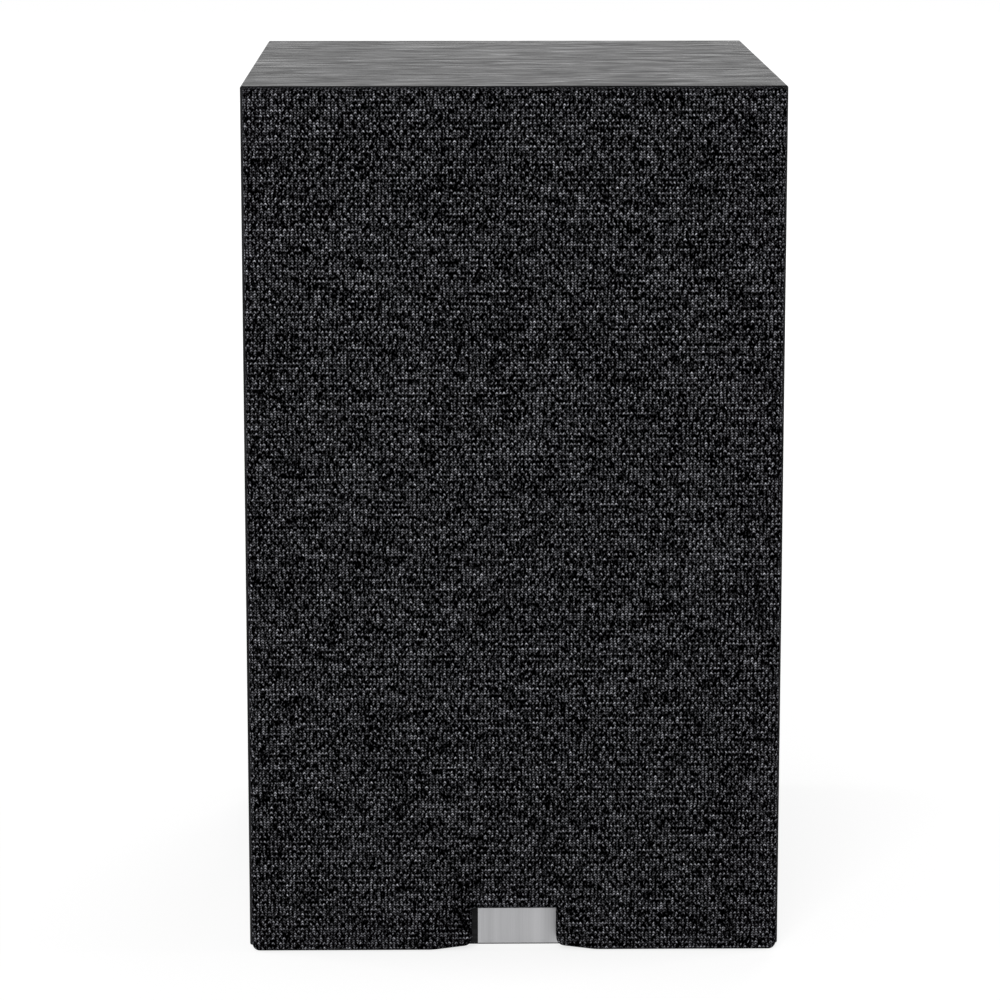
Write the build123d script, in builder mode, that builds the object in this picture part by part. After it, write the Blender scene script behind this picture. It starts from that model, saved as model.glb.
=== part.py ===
"""Two-way bookshelf speaker with a pull-off fabric grille.

Millimetres, +Z up. The front faces -Y and the origin is the centre of the cabinet's underside.
Turned pieces are drawn as half sections: radius first, then depth from the face they mount on.
"""

import math
import os

from build123d import *

os.makedirs("parts", exist_ok=True)

# Cabinet
CABINET_WIDTH = 216.0
CABINET_HEIGHT = 351.0
CABINET_DEPTH = 256.0
WALL = 15.0
EDGE_RADIUS = 0.8
BAFFLE_THICKNESS = 18.0
REAR_THICKNESS = 15.0
BAFFLE_RELIEF = 6.0
BRACE_THICKNESS = 12.0
BRACE_WINDOW_WIDTH = 130.0
BRACE_RAIL = 22.0
BRACE_WINDOW_RADIUS = 12.0

# Nameplate on the lower front edge
PLATE_WIDTH = 33.0
PLATE_HEIGHT = 15.6
PLATE_THICKNESS = 2.5
PLATE_RISE = 0.6
PLATE_OFFSET = 1.8
PLATE_LOWER_ROUND = 2.2
PLATE_EDGE_ROUND = 0.4

# Grille
GRILLE_THICKNESS = 10.6
GRILLE_SIDE_INSET = 1.4
GRILLE_END_INSET = 0.4
GRILLE_GAP = 0.3
GRILLE_CORNER = 2.6
GRILLE_FRONT_ROUND = 1.5
FABRIC_THICKNESS = 0.7
FABRIC_RETURN = 8.0
FRAME_SIDE_BAR = 14.7
FRAME_END_BAR = 31.0
FRAME_CROSS_BAR = 12.0
FRAME_WINDOW_RADIUS = 10.0
FRAME_WINDOW_BEVEL = 3.0
NOTCH_HALF_WIDTH = 17.15
NOTCH_HEIGHT = 17.7
NOTCH_FLARE_WIDTH = 16.0
NOTCH_FLARE_RISE = 2.0
NOTCH_FLARE_ROUND = 30.0
NOTCH_LOWER_CORNER = 3.5
NOTCH_UPPER_CORNER = 1.1
PLATE_CLEARANCE = 0.9
PEG_INSET = 23.0
PEG_RADIUS = 3.0
PEG_LENGTH = 10.5
PEG_TIP_BEVEL = 1.2
PEG_ROOT_RADIUS = 4.5
PEG_ROOT_DEPTH = 4.5
PEG_CLEARANCE = 0.15
SOCKET_WALL = 1.9
SOCKET_FLOOR = 1.5
SOCKET_END_CLEARANCE = 1.0

# Driver places on the baffle
WOOFER_HEIGHT = 112.0
DRIVER_GAP = 9.0
DRIVER_REBATE_CLEARANCE = 0.4

# Woofer frame and screws
WOOFER_RADIUS = 86.0
FLANGE_WIDTH = 13.0
FLANGE_THICKNESS = 4.5
TRIM_RING = 1.6
TRIM_RING_GAP = 0.4
TRIM_RING_ROUND = 0.6
WOOFER_GASKET = 1.5
CUTOUT_CLEARANCE = 0.5
BASKET_WALL = 2.0
BASKET_COLLAR_DEPTH = 14.0
SPIDER_SEAT_DEPTH = 34.5
SPIDER_SEAT_RADIUS = 51.0
SPIDER_SEAT_WIDTH = 5.0
BASKET_DEPTH = 52.0
BASKET_REAR_RADIUS = 45.0
BASKET_THROAT_RADIUS = 24.0
BASKET_SPOKES = 6
BASKET_WINDOW_ANGLE = 40.0
WINDOW_RIM = 2.0
DRIVER_SCREW_INSET = 6.0
DRIVER_SCREWS = 6
SCREW_RADIUS = 2.0
SCREW_HEAD_RADIUS = 3.8
SCREW_HEAD_HEIGHT = 2.2
SCREW_LENGTH = 16.0
SCREW_DRIVE_RADIUS = 1.5
SCREW_CLEARANCE = 0.25

# Woofer moving parts
SURROUND_THICKNESS = 0.9
SURROUND_LIP = 4.5
SURROUND_ROLL_WIDTH = 12.0
SURROUND_ROLL_HEIGHT = 6.0
SURROUND_SEAT = 1.65
CONE_RIM_WIDTH = 3.8
CONE_THICKNESS = 0.9
CONE_NECK_DEPTH = 27.0
CONE_CURVE = 0.86
DUST_CAP_RADIUS = 24.0
DUST_CAP_RISE = 7.0
DUST_CAP_THICKNESS = 0.8
FORMER_RADIUS = 16.2
FORMER_WALL = 0.4
FORMER_TOP = 25.5
FORMER_END = 62.0
WOOFER_COIL_WALL = 0.95
WOOFER_COIL_LENGTH = 13.0
GLUE_LINE = 0.05
SPIDER_THICKNESS = 0.6
SPIDER_WAVES = 6
SPIDER_WAVE_HEIGHT = 1.6

# Woofer motor
MAGNETIC_GAP = 0.6
WOOFER_TOP_PLATE_RADIUS = 46.0
WOOFER_TOP_PLATE = 6.0
WOOFER_MAGNET_RADIUS = 52.0
WOOFER_MAGNET_BORE = 25.0
WOOFER_MAGNET = 18.0
WOOFER_BACK_PLATE = 6.0
POLE_VENT_RADIUS = 5.0
POLE_BEVEL = 1.0

# Driver terminals
TAB_WIDTH = 4.8
TAB_THICKNESS = 0.8
TAB_LENGTH = 8.0
TAB_SPACING = 14.0
CARRIER_WIDTH = 26.0
CARRIER_LENGTH = 10.0
CARRIER_THICKNESS = 2.4

# Tweeter
FACEPLATE_RADIUS = 55.0
FACEPLATE_THICKNESS = 4.5
TWEETER_GASKET = 1.0
TWEETER_HUB_RADIUS = 40.0
TWEETER_HUB_DEPTH = 13.0
TWEETER_HUB_CLEARANCE = 2.0
WAVEGUIDE_RIM = 8.0
WAVEGUIDE_DEPTH = 9.0
THROAT_RADIUS = 17.6
TWEETER_SCREW_INSET = 4.0
TWEETER_SCREWS = 4
TWEETER_SCREW_HEAD_RADIUS = 3.2
GUARD_RIM = 0.6
GUARD_RIM_HEIGHT = 2.0
GUARD_RISE = 6.2
GUARD_THICKNESS = 0.6
GUARD_FIT = 0.1
GUARD_HOLE_RADIUS = 1.7
GUARD_HOLE_PITCH = 5.2
GUARD_HOLE_RINGS = 2
DOME_RADIUS = 13.0
DOME_RISE = 4.8
DOME_THICKNESS = 0.35
SUSPENSION_SEAT_RADIUS = 19.5
SUSPENSION_THICKNESS = 0.6
SUSPENSION_RISE = 1.6
SUSPENSION_LIP = 1.9
TWEETER_COIL_WALL = 0.5
TWEETER_COIL_END = 18.0
TWEETER_MAGNETIC_GAP = 0.4
TWEETER_TOP_PLATE_RADIUS = 36.0
TWEETER_TOP_PLATE = 4.0
TWEETER_MAGNET_RADIUS = 38.0
TWEETER_MAGNET_BORE = 18.0
TWEETER_MAGNET = 10.0
TWEETER_BACK_PLATE = 4.5

# Port in the rear panel
PORT_RADIUS = 26.0
PORT_LENGTH = 120.0
PORT_MOUTH_RADIUS = 38.0
PORT_FLARE_DEPTH = 18.0
PORT_FLANGE_RADIUS = 44.0
PORT_FLANGE = 3.0
PORT_WALL = 2.0
PORT_SLEEVE = 16.0
PORT_FIT = 0.1
PORT_REBATE_CLEARANCE = 0.3

# Terminal cup in the rear panel
CUP_HEIGHT = 70.0
CUP_FLANGE_WIDTH = 96.0
CUP_FLANGE_HEIGHT = 72.0
CUP_FLANGE = 3.0
CUP_GASKET = 1.0
CUP_BODY_WIDTH = 79.0
CUP_BODY_HEIGHT = 55.0
CUP_WALL = 2.5
CUP_FLOOR = 3.0
CUP_RECESS = 16.0
CUP_DRAFT = 5.0
CUP_CORNER = 6.0
CUP_CLEARANCE = 0.5
CUP_SCREW_INSET = 5.5
CUP_SCREW_RADIUS = 1.7
CUP_SCREW_HEAD_RADIUS = 3.2
CUP_SCREW_HEAD_HEIGHT = 1.9
CUP_SCREW_LENGTH = 13.0

# Binding posts
POST_PITCH = 19.05
POST_RADIUS = 3.0
POST_SHOULDER_RADIUS = 6.5
POST_SHOULDER = 3.0
POST_OUTER_LENGTH = 22.5
POST_INNER_LENGTH = 9.0
BANANA_RADIUS = 2.0
BANANA_DEPTH = 15.5
CROSS_HOLE_RADIUS = 1.4
CROSS_HOLE_RISE = 4.8
POST_HOLE_CLEARANCE = 0.2
NUT_RADIUS = 5.8
NUT_THICKNESS = 4.5
CLAMP_RING_RADIUS = 7.0
CLAMP_RING_THICKNESS = 1.2
CLAMP_RING_REST = 0.2
KNOB_RADIUS = 7.5
KNOB_REST = 0.1
KNOB_CLEARANCE = 0.45
KNOB_OVERHANG = 1.0
KNOB_COUNTERSINK = 0.7
KNOB_FLUTES = 12
KNOB_FLUTE_RADIUS = 1.1
KNOB_FLUTE_OFFSET = 0.5
KNOB_COLLAR = 3.0
KNOB_ROUND = 0.8

# Crossover on the bottom panel
BOARD_WIDTH = 110.0
BOARD_LENGTH = 80.0
BOARD_THICKNESS = 1.6
BOARD_REAR_GAP = 28.0
STANDOFF_HEIGHT = 8.0
STANDOFF_RADIUS = 4.0
STANDOFF_INSET = 5.0
BOARD_SCREW_RADIUS = 1.5
BOARD_SCREW_HEAD_RADIUS = 3.0
BOARD_SCREW_HEAD_HEIGHT = 2.0
BOARD_SCREW_LENGTH = 18.0
INDUCTOR_FLANGE = 1.6
INDUCTOR_BORE_RADIUS = 5.0
INDUCTOR_WINDING_INSET = 1.5
CAPACITOR_RADIUS = 8.0
CAPACITOR_LENGTH = 34.0
CAPACITOR_BEVEL = 1.5
RESISTOR_WIDTH = 10.0
RESISTOR_HEIGHT = 9.0
RESISTOR_LENGTH = 35.0
RESISTOR_BEVEL = 0.8

# Internal wires and damping
WIRE_RADIUS = 1.3
WIRE_SEAT = 0.2
LEAD_OUT = 12.0
BEND_SHARE = 0.45
WIRE_BACK_SHARE = 0.4
WIRE_RUN_RISE = 15.0
PAD_INSET = 6.5
WOOFER_PAD_X = 3.0
TWEETER_PAD_X = 12.0
TWEETER_PAD_SPREAD = 3.0
DAMPING_THICKNESS = 18.0
DAMPING_ROUND = 5.0
DAMPING_MARGIN = 8.0
SIDE_PAD_FRONT_GAP = 55.0
TOP_PAD_FRONT_GAP = 30.0
TOP_PAD_WIDTH = 150.0

# Places worked out from the sizes above
FRONT = -CABINET_DEPTH / 2
REAR = CABINET_DEPTH / 2
INNER_X = CABINET_WIDTH / 2 - WALL
INNER_TOP = CABINET_HEIGHT - WALL
INNER_FRONT = FRONT + BAFFLE_THICKNESS
INNER_REAR = REAR - REAR_THICKNESS
BAFFLE_HEIGHT = INNER_TOP - WALL
BAFFLE_MIDDLE = CABINET_HEIGHT / 2
BRACE_MIDDLE = WOOFER_HEIGHT + WOOFER_RADIUS + DRIVER_GAP / 2
TWEETER_HEIGHT = WOOFER_HEIGHT + WOOFER_RADIUS + DRIVER_GAP + FACEPLATE_RADIUS
PORT_HEIGHT = TWEETER_HEIGHT


def facing(y, z=0.0):
    """Upright sketch plane seen from the front: local x is +X, local y is +Z, extrusion goes to -Y."""
    return Plane(origin=(0, y, z), x_dir=(1, 0, 0), z_dir=(0, -1, 0))


def half_section(y, z, x=0.0):
    """Sketch plane of a turned piece on an axis along Y: local x is the radius, local y goes to +Y."""
    return Plane(origin=(x, y, z), x_dir=(1, 0, 0), z_dir=(0, 0, 1))


def ring_section(inner, outer, near, far):
    """Rectangle of a turned ring in a half section."""
    with Locations(((inner + outer) / 2, (near + far) / 2)):
        Rectangle(outer - inner, far - near)


def closed_outline(points):
    """Straight-sided face in the sketch being drawn."""
    with BuildLine() as outline:
        Polyline(*points, close=True)
    make_face(outline.edges())


def finish(piece, name):
    """Label one piece and write its file."""
    piece.part.label = name
    export_step(piece.part, f"parts/{name}.step")


WOOFER_SECTION = half_section(FRONT, WOOFER_HEIGHT)
WOOFER_AXIS = Axis((0, FRONT, WOOFER_HEIGHT), (0, 1, 0))
TWEETER_SECTION = half_section(FRONT, TWEETER_HEIGHT)
TWEETER_AXIS = Axis((0, FRONT, TWEETER_HEIGHT), (0, 1, 0))


# Cabinet boards: one vinyl wrap folded at four mitres
def mitred_board(outline):
    """Board of the folded wrap, from the front edge to the rear edge."""
    with BuildPart() as board:
        with BuildSketch(facing(FRONT)) as section:
            with BuildLine():
                Polyline(*outline, close=True)
            make_face()
            with Locations((0, CABINET_HEIGHT / 2)):
                RectangleRounded(CABINET_WIDTH, CABINET_HEIGHT, EDGE_RADIUS, mode=Mode.INTERSECT)
        extrude(section.sketch, amount=-CABINET_DEPTH)
    return board


HALF_WIDTH = CABINET_WIDTH / 2
OUTER_TOP_LEFT, OUTER_TOP_RIGHT = (-HALF_WIDTH, CABINET_HEIGHT), (HALF_WIDTH, CABINET_HEIGHT)
OUTER_LOW_LEFT, OUTER_LOW_RIGHT = (-HALF_WIDTH, 0), (HALF_WIDTH, 0)
INNER_TOP_LEFT, INNER_TOP_RIGHT = (-INNER_X, INNER_TOP), (INNER_X, INNER_TOP)
INNER_LOW_LEFT, INNER_LOW_RIGHT = (-INNER_X, WALL), (INNER_X, WALL)

top_panel = mitred_board([OUTER_TOP_LEFT, OUTER_TOP_RIGHT, INNER_TOP_RIGHT, INNER_TOP_LEFT])
left_side_panel = mitred_board([OUTER_LOW_LEFT, OUTER_TOP_LEFT, INNER_TOP_LEFT, INNER_LOW_LEFT])
right_side_panel = mitred_board([OUTER_LOW_RIGHT, OUTER_TOP_RIGHT, INNER_TOP_RIGHT, INNER_LOW_RIGHT])
bottom_board = mitred_board([OUTER_LOW_LEFT, OUTER_LOW_RIGHT, INNER_LOW_RIGHT, INNER_LOW_LEFT])
finish(top_panel, "top_panel")
finish(left_side_panel, "left_side_panel")
finish(right_side_panel, "right_side_panel")

BOARD_MIDDLE_Y = INNER_REAR - BOARD_REAR_GAP - BOARD_LENGTH / 2
BOARD_UNDERSIDE = WALL + STANDOFF_HEIGHT
BOARD_TOP = BOARD_UNDERSIDE + BOARD_THICKNESS
STANDOFF_SPACING_X = BOARD_WIDTH - 2 * STANDOFF_INSET
STANDOFF_SPACING_Y = BOARD_LENGTH - 2 * STANDOFF_INSET
BOARD_SCREW_REACH = BOARD_SCREW_LENGTH - BOARD_THICKNESS - STANDOFF_HEIGHT

with BuildPart() as bottom_panel:
    add(bottom_board.part)
    with BuildSketch(Plane.XY.offset(WALL)):
        with Locations((0, BOARD_MIDDLE_Y)):
            with GridLocations(STANDOFF_SPACING_X, STANDOFF_SPACING_Y, 2, 2):
                Circle(BOARD_SCREW_RADIUS + GLUE_LINE)
    extrude(amount=-BOARD_SCREW_REACH - GLUE_LINE, mode=Mode.SUBTRACT)
finish(bottom_panel, "bottom_panel")

# Front baffle, inset flush, with both drivers let in
WOOFER_CUTOUT = WOOFER_RADIUS - FLANGE_WIDTH
WOOFER_REBATE = FLANGE_THICKNESS + WOOFER_GASKET
WOOFER_SCREW_CIRCLE = WOOFER_RADIUS - DRIVER_SCREW_INSET
TWEETER_CUTOUT = TWEETER_HUB_RADIUS + TWEETER_HUB_CLEARANCE
TWEETER_REBATE = FACEPLATE_THICKNESS + TWEETER_GASKET
TWEETER_SCREW_CIRCLE = FACEPLATE_RADIUS - TWEETER_SCREW_INSET

GRILLE_HALF_WIDTH = CABINET_WIDTH / 2 - GRILLE_SIDE_INSET
GRILLE_LOW = GRILLE_END_INSET
GRILLE_HIGH = CABINET_HEIGHT - GRILLE_END_INSET
PEG_X = GRILLE_HALF_WIDTH - PEG_INSET
PEG_HEIGHTS = (GRILLE_LOW + PEG_INSET, BRACE_MIDDLE, GRILLE_HIGH - PEG_INSET)
PEG_POINTS = [(side * PEG_X, height) for side in (-1, 1) for height in PEG_HEIGHTS]
SOCKET_RADIUS = PEG_RADIUS + PEG_CLEARANCE + SOCKET_WALL
SOCKET_BORE_DEPTH = PEG_LENGTH + SOCKET_END_CLEARANCE
SOCKET_DEPTH = SOCKET_BORE_DEPTH + SOCKET_FLOOR

with BuildPart() as front_baffle:
    with BuildSketch(facing(FRONT)):
        with Locations((0, BAFFLE_MIDDLE)):
            Rectangle(2 * INNER_X, BAFFLE_HEIGHT)
    extrude(amount=-BAFFLE_THICKNESS)
    with BuildSketch(facing(FRONT, WOOFER_HEIGHT)):
        Circle(WOOFER_RADIUS + DRIVER_REBATE_CLEARANCE)
    extrude(amount=-WOOFER_REBATE, mode=Mode.SUBTRACT)
    with BuildSketch(facing(FRONT, TWEETER_HEIGHT)):
        Circle(FACEPLATE_RADIUS + DRIVER_REBATE_CLEARANCE)
    extrude(amount=-TWEETER_REBATE, mode=Mode.SUBTRACT)
    with BuildSketch(facing(FRONT)):
        with Locations((0, WOOFER_HEIGHT)):
            Circle(WOOFER_CUTOUT)
        with Locations((0, TWEETER_HEIGHT)):
            Circle(TWEETER_CUTOUT)
    extrude(amount=-BAFFLE_THICKNESS, mode=Mode.SUBTRACT)
    rear_edges = front_baffle.faces().sort_by(Axis.Y)[-1].edges().filter_by(GeomType.CIRCLE)
    chamfer(rear_edges.sort_by(SortBy.RADIUS)[-1], BAFFLE_RELIEF)
    with BuildSketch(facing(FRONT, WOOFER_HEIGHT)):
        with PolarLocations(WOOFER_SCREW_CIRCLE, DRIVER_SCREWS):
            Circle(SCREW_RADIUS + GLUE_LINE)
    extrude(amount=-SCREW_LENGTH - GLUE_LINE, mode=Mode.SUBTRACT)
    with BuildSketch(facing(FRONT, TWEETER_HEIGHT)):
        with PolarLocations(TWEETER_SCREW_CIRCLE, TWEETER_SCREWS, start_angle=45):
            Circle(SCREW_RADIUS + GLUE_LINE)
    extrude(amount=-SCREW_LENGTH - GLUE_LINE, mode=Mode.SUBTRACT)
    with BuildSketch(facing(FRONT)):
        with Locations(*PEG_POINTS):
            Circle(SOCKET_RADIUS)
    extrude(amount=-SOCKET_DEPTH, mode=Mode.SUBTRACT)
finish(front_baffle, "front_baffle")

# Rear panel, inset flush, with the port and the terminal cup let in
PORT_SLEEVE_RADIUS = PORT_RADIUS + PORT_WALL
PORT_HOLE = PORT_MOUTH_RADIUS + PORT_WALL
CUP_REBATE = CUP_FLANGE + CUP_GASKET
CUP_REBATE_WIDTH = CUP_FLANGE_WIDTH + 2 * CUP_CLEARANCE
CUP_REBATE_HEIGHT = CUP_FLANGE_HEIGHT + 2 * CUP_CLEARANCE
CUP_CUTOUT_WIDTH = CUP_BODY_WIDTH + 2 * CUP_CLEARANCE
CUP_CUTOUT_HEIGHT = CUP_BODY_HEIGHT + 2 * CUP_CLEARANCE
CUP_SCREW_X = CUP_FLANGE_WIDTH - 2 * CUP_SCREW_INSET
CUP_SCREW_Z = CUP_FLANGE_HEIGHT - 2 * CUP_SCREW_INSET

with BuildPart() as rear_panel:
    with BuildSketch(facing(REAR)):
        with Locations((0, BAFFLE_MIDDLE)):
            Rectangle(2 * INNER_X, BAFFLE_HEIGHT)
    extrude(amount=REAR_THICKNESS)
    with BuildSketch(facing(REAR, PORT_HEIGHT)):
        Circle(PORT_FLANGE_RADIUS + PORT_REBATE_CLEARANCE)
    extrude(amount=PORT_FLANGE, mode=Mode.SUBTRACT)
    with BuildSketch(facing(REAR, CUP_HEIGHT)):
        RectangleRounded(CUP_REBATE_WIDTH, CUP_REBATE_HEIGHT, CUP_CORNER)
    extrude(amount=CUP_REBATE, mode=Mode.SUBTRACT)
    with BuildSketch(facing(REAR)):
        with Locations((0, PORT_HEIGHT)):
            Circle(PORT_HOLE + GLUE_LINE)
        with Locations((0, CUP_HEIGHT)):
            RectangleRounded(CUP_CUTOUT_WIDTH, CUP_CUTOUT_HEIGHT, CUP_CORNER)
            with GridLocations(CUP_SCREW_X, CUP_SCREW_Z, 2, 2):
                Circle(CUP_SCREW_RADIUS + GLUE_LINE)
    extrude(amount=REAR_THICKNESS, mode=Mode.SUBTRACT)
finish(rear_panel, "rear_panel")

# Shelf brace between the drivers, with a window in front and one behind
INNER_DEPTH = INNER_REAR - INNER_FRONT
INNER_MIDDLE_Y = (INNER_REAR + INNER_FRONT) / 2
BRACE_WINDOW_LENGTH = (INNER_DEPTH - 3 * BRACE_RAIL) / 2

with BuildPart() as window_brace:
    with BuildSketch(Plane.XY.offset(BRACE_MIDDLE - BRACE_THICKNESS / 2)):
        with Locations((0, INNER_MIDDLE_Y)):
            Rectangle(2 * INNER_X, INNER_DEPTH)
            with GridLocations(0, BRACE_WINDOW_LENGTH + BRACE_RAIL, 1, 2):
                RectangleRounded(
                    BRACE_WINDOW_WIDTH, BRACE_WINDOW_LENGTH, BRACE_WINDOW_RADIUS, mode=Mode.SUBTRACT
                )
    extrude(amount=BRACE_THICKNESS)
finish(window_brace, "window_brace")

# Nameplate with a rolled lower edge
with BuildPart() as nameplate:
    with BuildSketch(facing(FRONT)):
        with Locations((PLATE_OFFSET, PLATE_RISE + PLATE_HEIGHT / 2)):
            Rectangle(PLATE_WIDTH, PLATE_HEIGHT)
    extrude(amount=PLATE_THICKNESS)
    plate_front = nameplate.faces().sort_by(Axis.Y)[0]
    fillet(plate_front.edges().sort_by(Axis.Z)[0], PLATE_LOWER_ROUND)
    plate_front = nameplate.faces().sort_by(Axis.Y)[0]
    fillet(plate_front.edges().sort_by(Axis.Z)[-1], PLATE_EDGE_ROUND)
finish(nameplate, "nameplate")


# Grille: one outline for the fabric and, drawn in by the fabric's thickness, for the frame
def grille_outline(inset):
    """Face of the grille with its finger notch, all edges drawn in by the inset."""
    side = GRILLE_HALF_WIDTH - inset
    low = GRILLE_LOW + inset
    high = GRILLE_HIGH - inset
    notch_side = NOTCH_HALF_WIDTH + inset
    notch_top = GRILLE_LOW + NOTCH_HEIGHT + inset
    flare_side = NOTCH_HALF_WIDTH + NOTCH_FLARE_WIDTH + inset
    left_half = [
        (-notch_side, notch_top),
        (-notch_side, low + NOTCH_FLARE_RISE),
        (-flare_side, low),
        (-side, low),
        (-side, high),
    ]
    right_half = [(-x, z) for x, z in reversed(left_half)]
    corner = max(GRILLE_CORNER - inset, 0)
    left_radii = [
        NOTCH_UPPER_CORNER + inset,
        max(NOTCH_LOWER_CORNER - inset, 0),
        NOTCH_FLARE_ROUND,
        corner,
        corner,
    ]
    with BuildLine() as outline:
        FilletPolyline(*left_half, *right_half, radius=left_radii + left_radii[::-1], close=True)
    make_face(outline.edges())


GRILLE_FRONT = FRONT - GRILLE_THICKNESS
GRILLE_BACK = FRONT - GRILLE_GAP
FRAME_FRONT = GRILLE_FRONT + FABRIC_THICKNESS
FRAME_BACK = GRILLE_BACK - FABRIC_THICKNESS
FRAME_WINDOW_WIDTH = 2 * (GRILLE_HALF_WIDTH - FRAME_SIDE_BAR)
LOWER_WINDOW = (GRILLE_LOW + FRAME_END_BAR, BRACE_MIDDLE - FRAME_CROSS_BAR / 2)
UPPER_WINDOW = (BRACE_MIDDLE + FRAME_CROSS_BAR / 2, GRILLE_HIGH - FRAME_END_BAR)
RELIEF_HALF_WIDTH = abs(PLATE_OFFSET) + PLATE_WIDTH / 2 + PLATE_CLEARANCE
RELIEF_TOP = PLATE_RISE + PLATE_HEIGHT + PLATE_CLEARANCE
RELIEF_FRONT = FRONT - PLATE_THICKNESS - PLATE_CLEARANCE

with BuildPart() as frame_blank:
    with BuildSketch(facing(FRAME_BACK)):
        grille_outline(FABRIC_THICKNESS)
    extrude(amount=FRAME_BACK - FRAME_FRONT)
    fillet(frame_blank.faces().sort_by(Axis.Y)[0].edges(), GRILLE_FRONT_ROUND - FABRIC_THICKNESS)

with BuildPart() as grille_frame:
    add(frame_blank.part)
    with BuildSketch(facing(FRAME_BACK)):
        for low, high in (LOWER_WINDOW, UPPER_WINDOW):
            with Locations((0, (low + high) / 2)):
                RectangleRounded(FRAME_WINDOW_WIDTH, high - low, FRAME_WINDOW_RADIUS)
    extrude(amount=FRAME_BACK - FRAME_FRONT, mode=Mode.SUBTRACT)
    window_edges = grille_frame.faces().sort_by(Axis.Y)[0].inner_wires().edges()
    chamfer(window_edges, FRAME_WINDOW_BEVEL)
    with BuildSketch(facing(FRAME_BACK)):
        with Locations(*PEG_POINTS):
            Circle(PEG_ROOT_RADIUS)
    extrude(amount=PEG_ROOT_DEPTH, mode=Mode.SUBTRACT)
    with BuildSketch(facing(RELIEF_FRONT)):
        with Locations((0, RELIEF_TOP / 2)):
            Rectangle(2 * RELIEF_HALF_WIDTH, RELIEF_TOP)
    extrude(amount=RELIEF_FRONT - GRILLE_BACK, mode=Mode.SUBTRACT)
finish(grille_frame, "grille_frame")

with BuildPart() as grille_fabric:
    with BuildSketch(facing(GRILLE_BACK)):
        grille_outline(0.0)
    extrude(amount=GRILLE_BACK - GRILLE_FRONT)
    fillet(grille_fabric.faces().sort_by(Axis.Y)[0].edges(), GRILLE_FRONT_ROUND)
    add(frame_blank.part, mode=Mode.SUBTRACT)
    with BuildSketch(facing(GRILLE_BACK)):
        grille_outline(FABRIC_RETURN)
    extrude(amount=FABRIC_THICKNESS, mode=Mode.SUBTRACT)
    with BuildSketch(facing(RELIEF_FRONT)):
        with Locations((0, RELIEF_TOP / 2)):
            Rectangle(2 * RELIEF_HALF_WIDTH, RELIEF_TOP)
    extrude(amount=RELIEF_FRONT - GRILLE_BACK, mode=Mode.SUBTRACT)
finish(grille_fabric, "grille_fabric")

with BuildPart() as grille_pegs:
    with BuildSketch(facing(FRAME_BACK)):
        with Locations(*PEG_POINTS):
            Circle(PEG_ROOT_RADIUS)
    extrude(amount=PEG_ROOT_DEPTH)
    with BuildSketch(facing(FRAME_BACK)):
        with Locations(*PEG_POINTS):
            Circle(PEG_RADIUS)
    extrude(amount=FRAME_BACK - FRONT - PEG_LENGTH)
    tips = grille_pegs.edges().group_by(Axis.Y)[-1]
    chamfer(tips, PEG_TIP_BEVEL)
finish(grille_pegs, "grille_pegs")

with BuildPart() as grille_sockets:
    with BuildSketch(facing(FRONT)):
        with Locations(*PEG_POINTS):
            Circle(SOCKET_RADIUS)
    extrude(amount=-SOCKET_DEPTH)
    with BuildSketch(facing(FRONT)):
        with Locations(*PEG_POINTS):
            Circle(PEG_RADIUS + PEG_CLEARANCE)
    extrude(amount=-SOCKET_BORE_DEPTH, mode=Mode.SUBTRACT)
finish(grille_sockets, "grille_sockets")

# Woofer basket: flange behind the trim ring, collar, windowed cone, spider seat and rear plate
COLLAR_RADIUS = WOOFER_CUTOUT - CUTOUT_CLEARANCE
SURROUND_OUTER = WOOFER_RADIUS - DRIVER_SCREW_INSET - SCREW_HEAD_RADIUS - 2 * SCREW_CLEARANCE
ROLL_OUTER = SURROUND_OUTER - SURROUND_LIP
ROLL_INNER = ROLL_OUTER - SURROUND_ROLL_WIDTH
SURROUND_INNER = ROLL_INNER - CONE_RIM_WIDTH
SURROUND_BACK = SURROUND_SEAT + SURROUND_THICKNESS
LAND_RADIUS = ROLL_OUTER - SURROUND_THICKNESS - BASKET_WALL
LAND_BACK = SURROUND_BACK + BASKET_WALL
SPIDER_SEAT_INNER = SPIDER_SEAT_RADIUS - SPIDER_SEAT_WIDTH
SPIDER_SEAT_BACK = SPIDER_SEAT_DEPTH + BASKET_WALL
SPIDER_SEAT_OUTER = SPIDER_SEAT_RADIUS + BASKET_WALL

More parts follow.
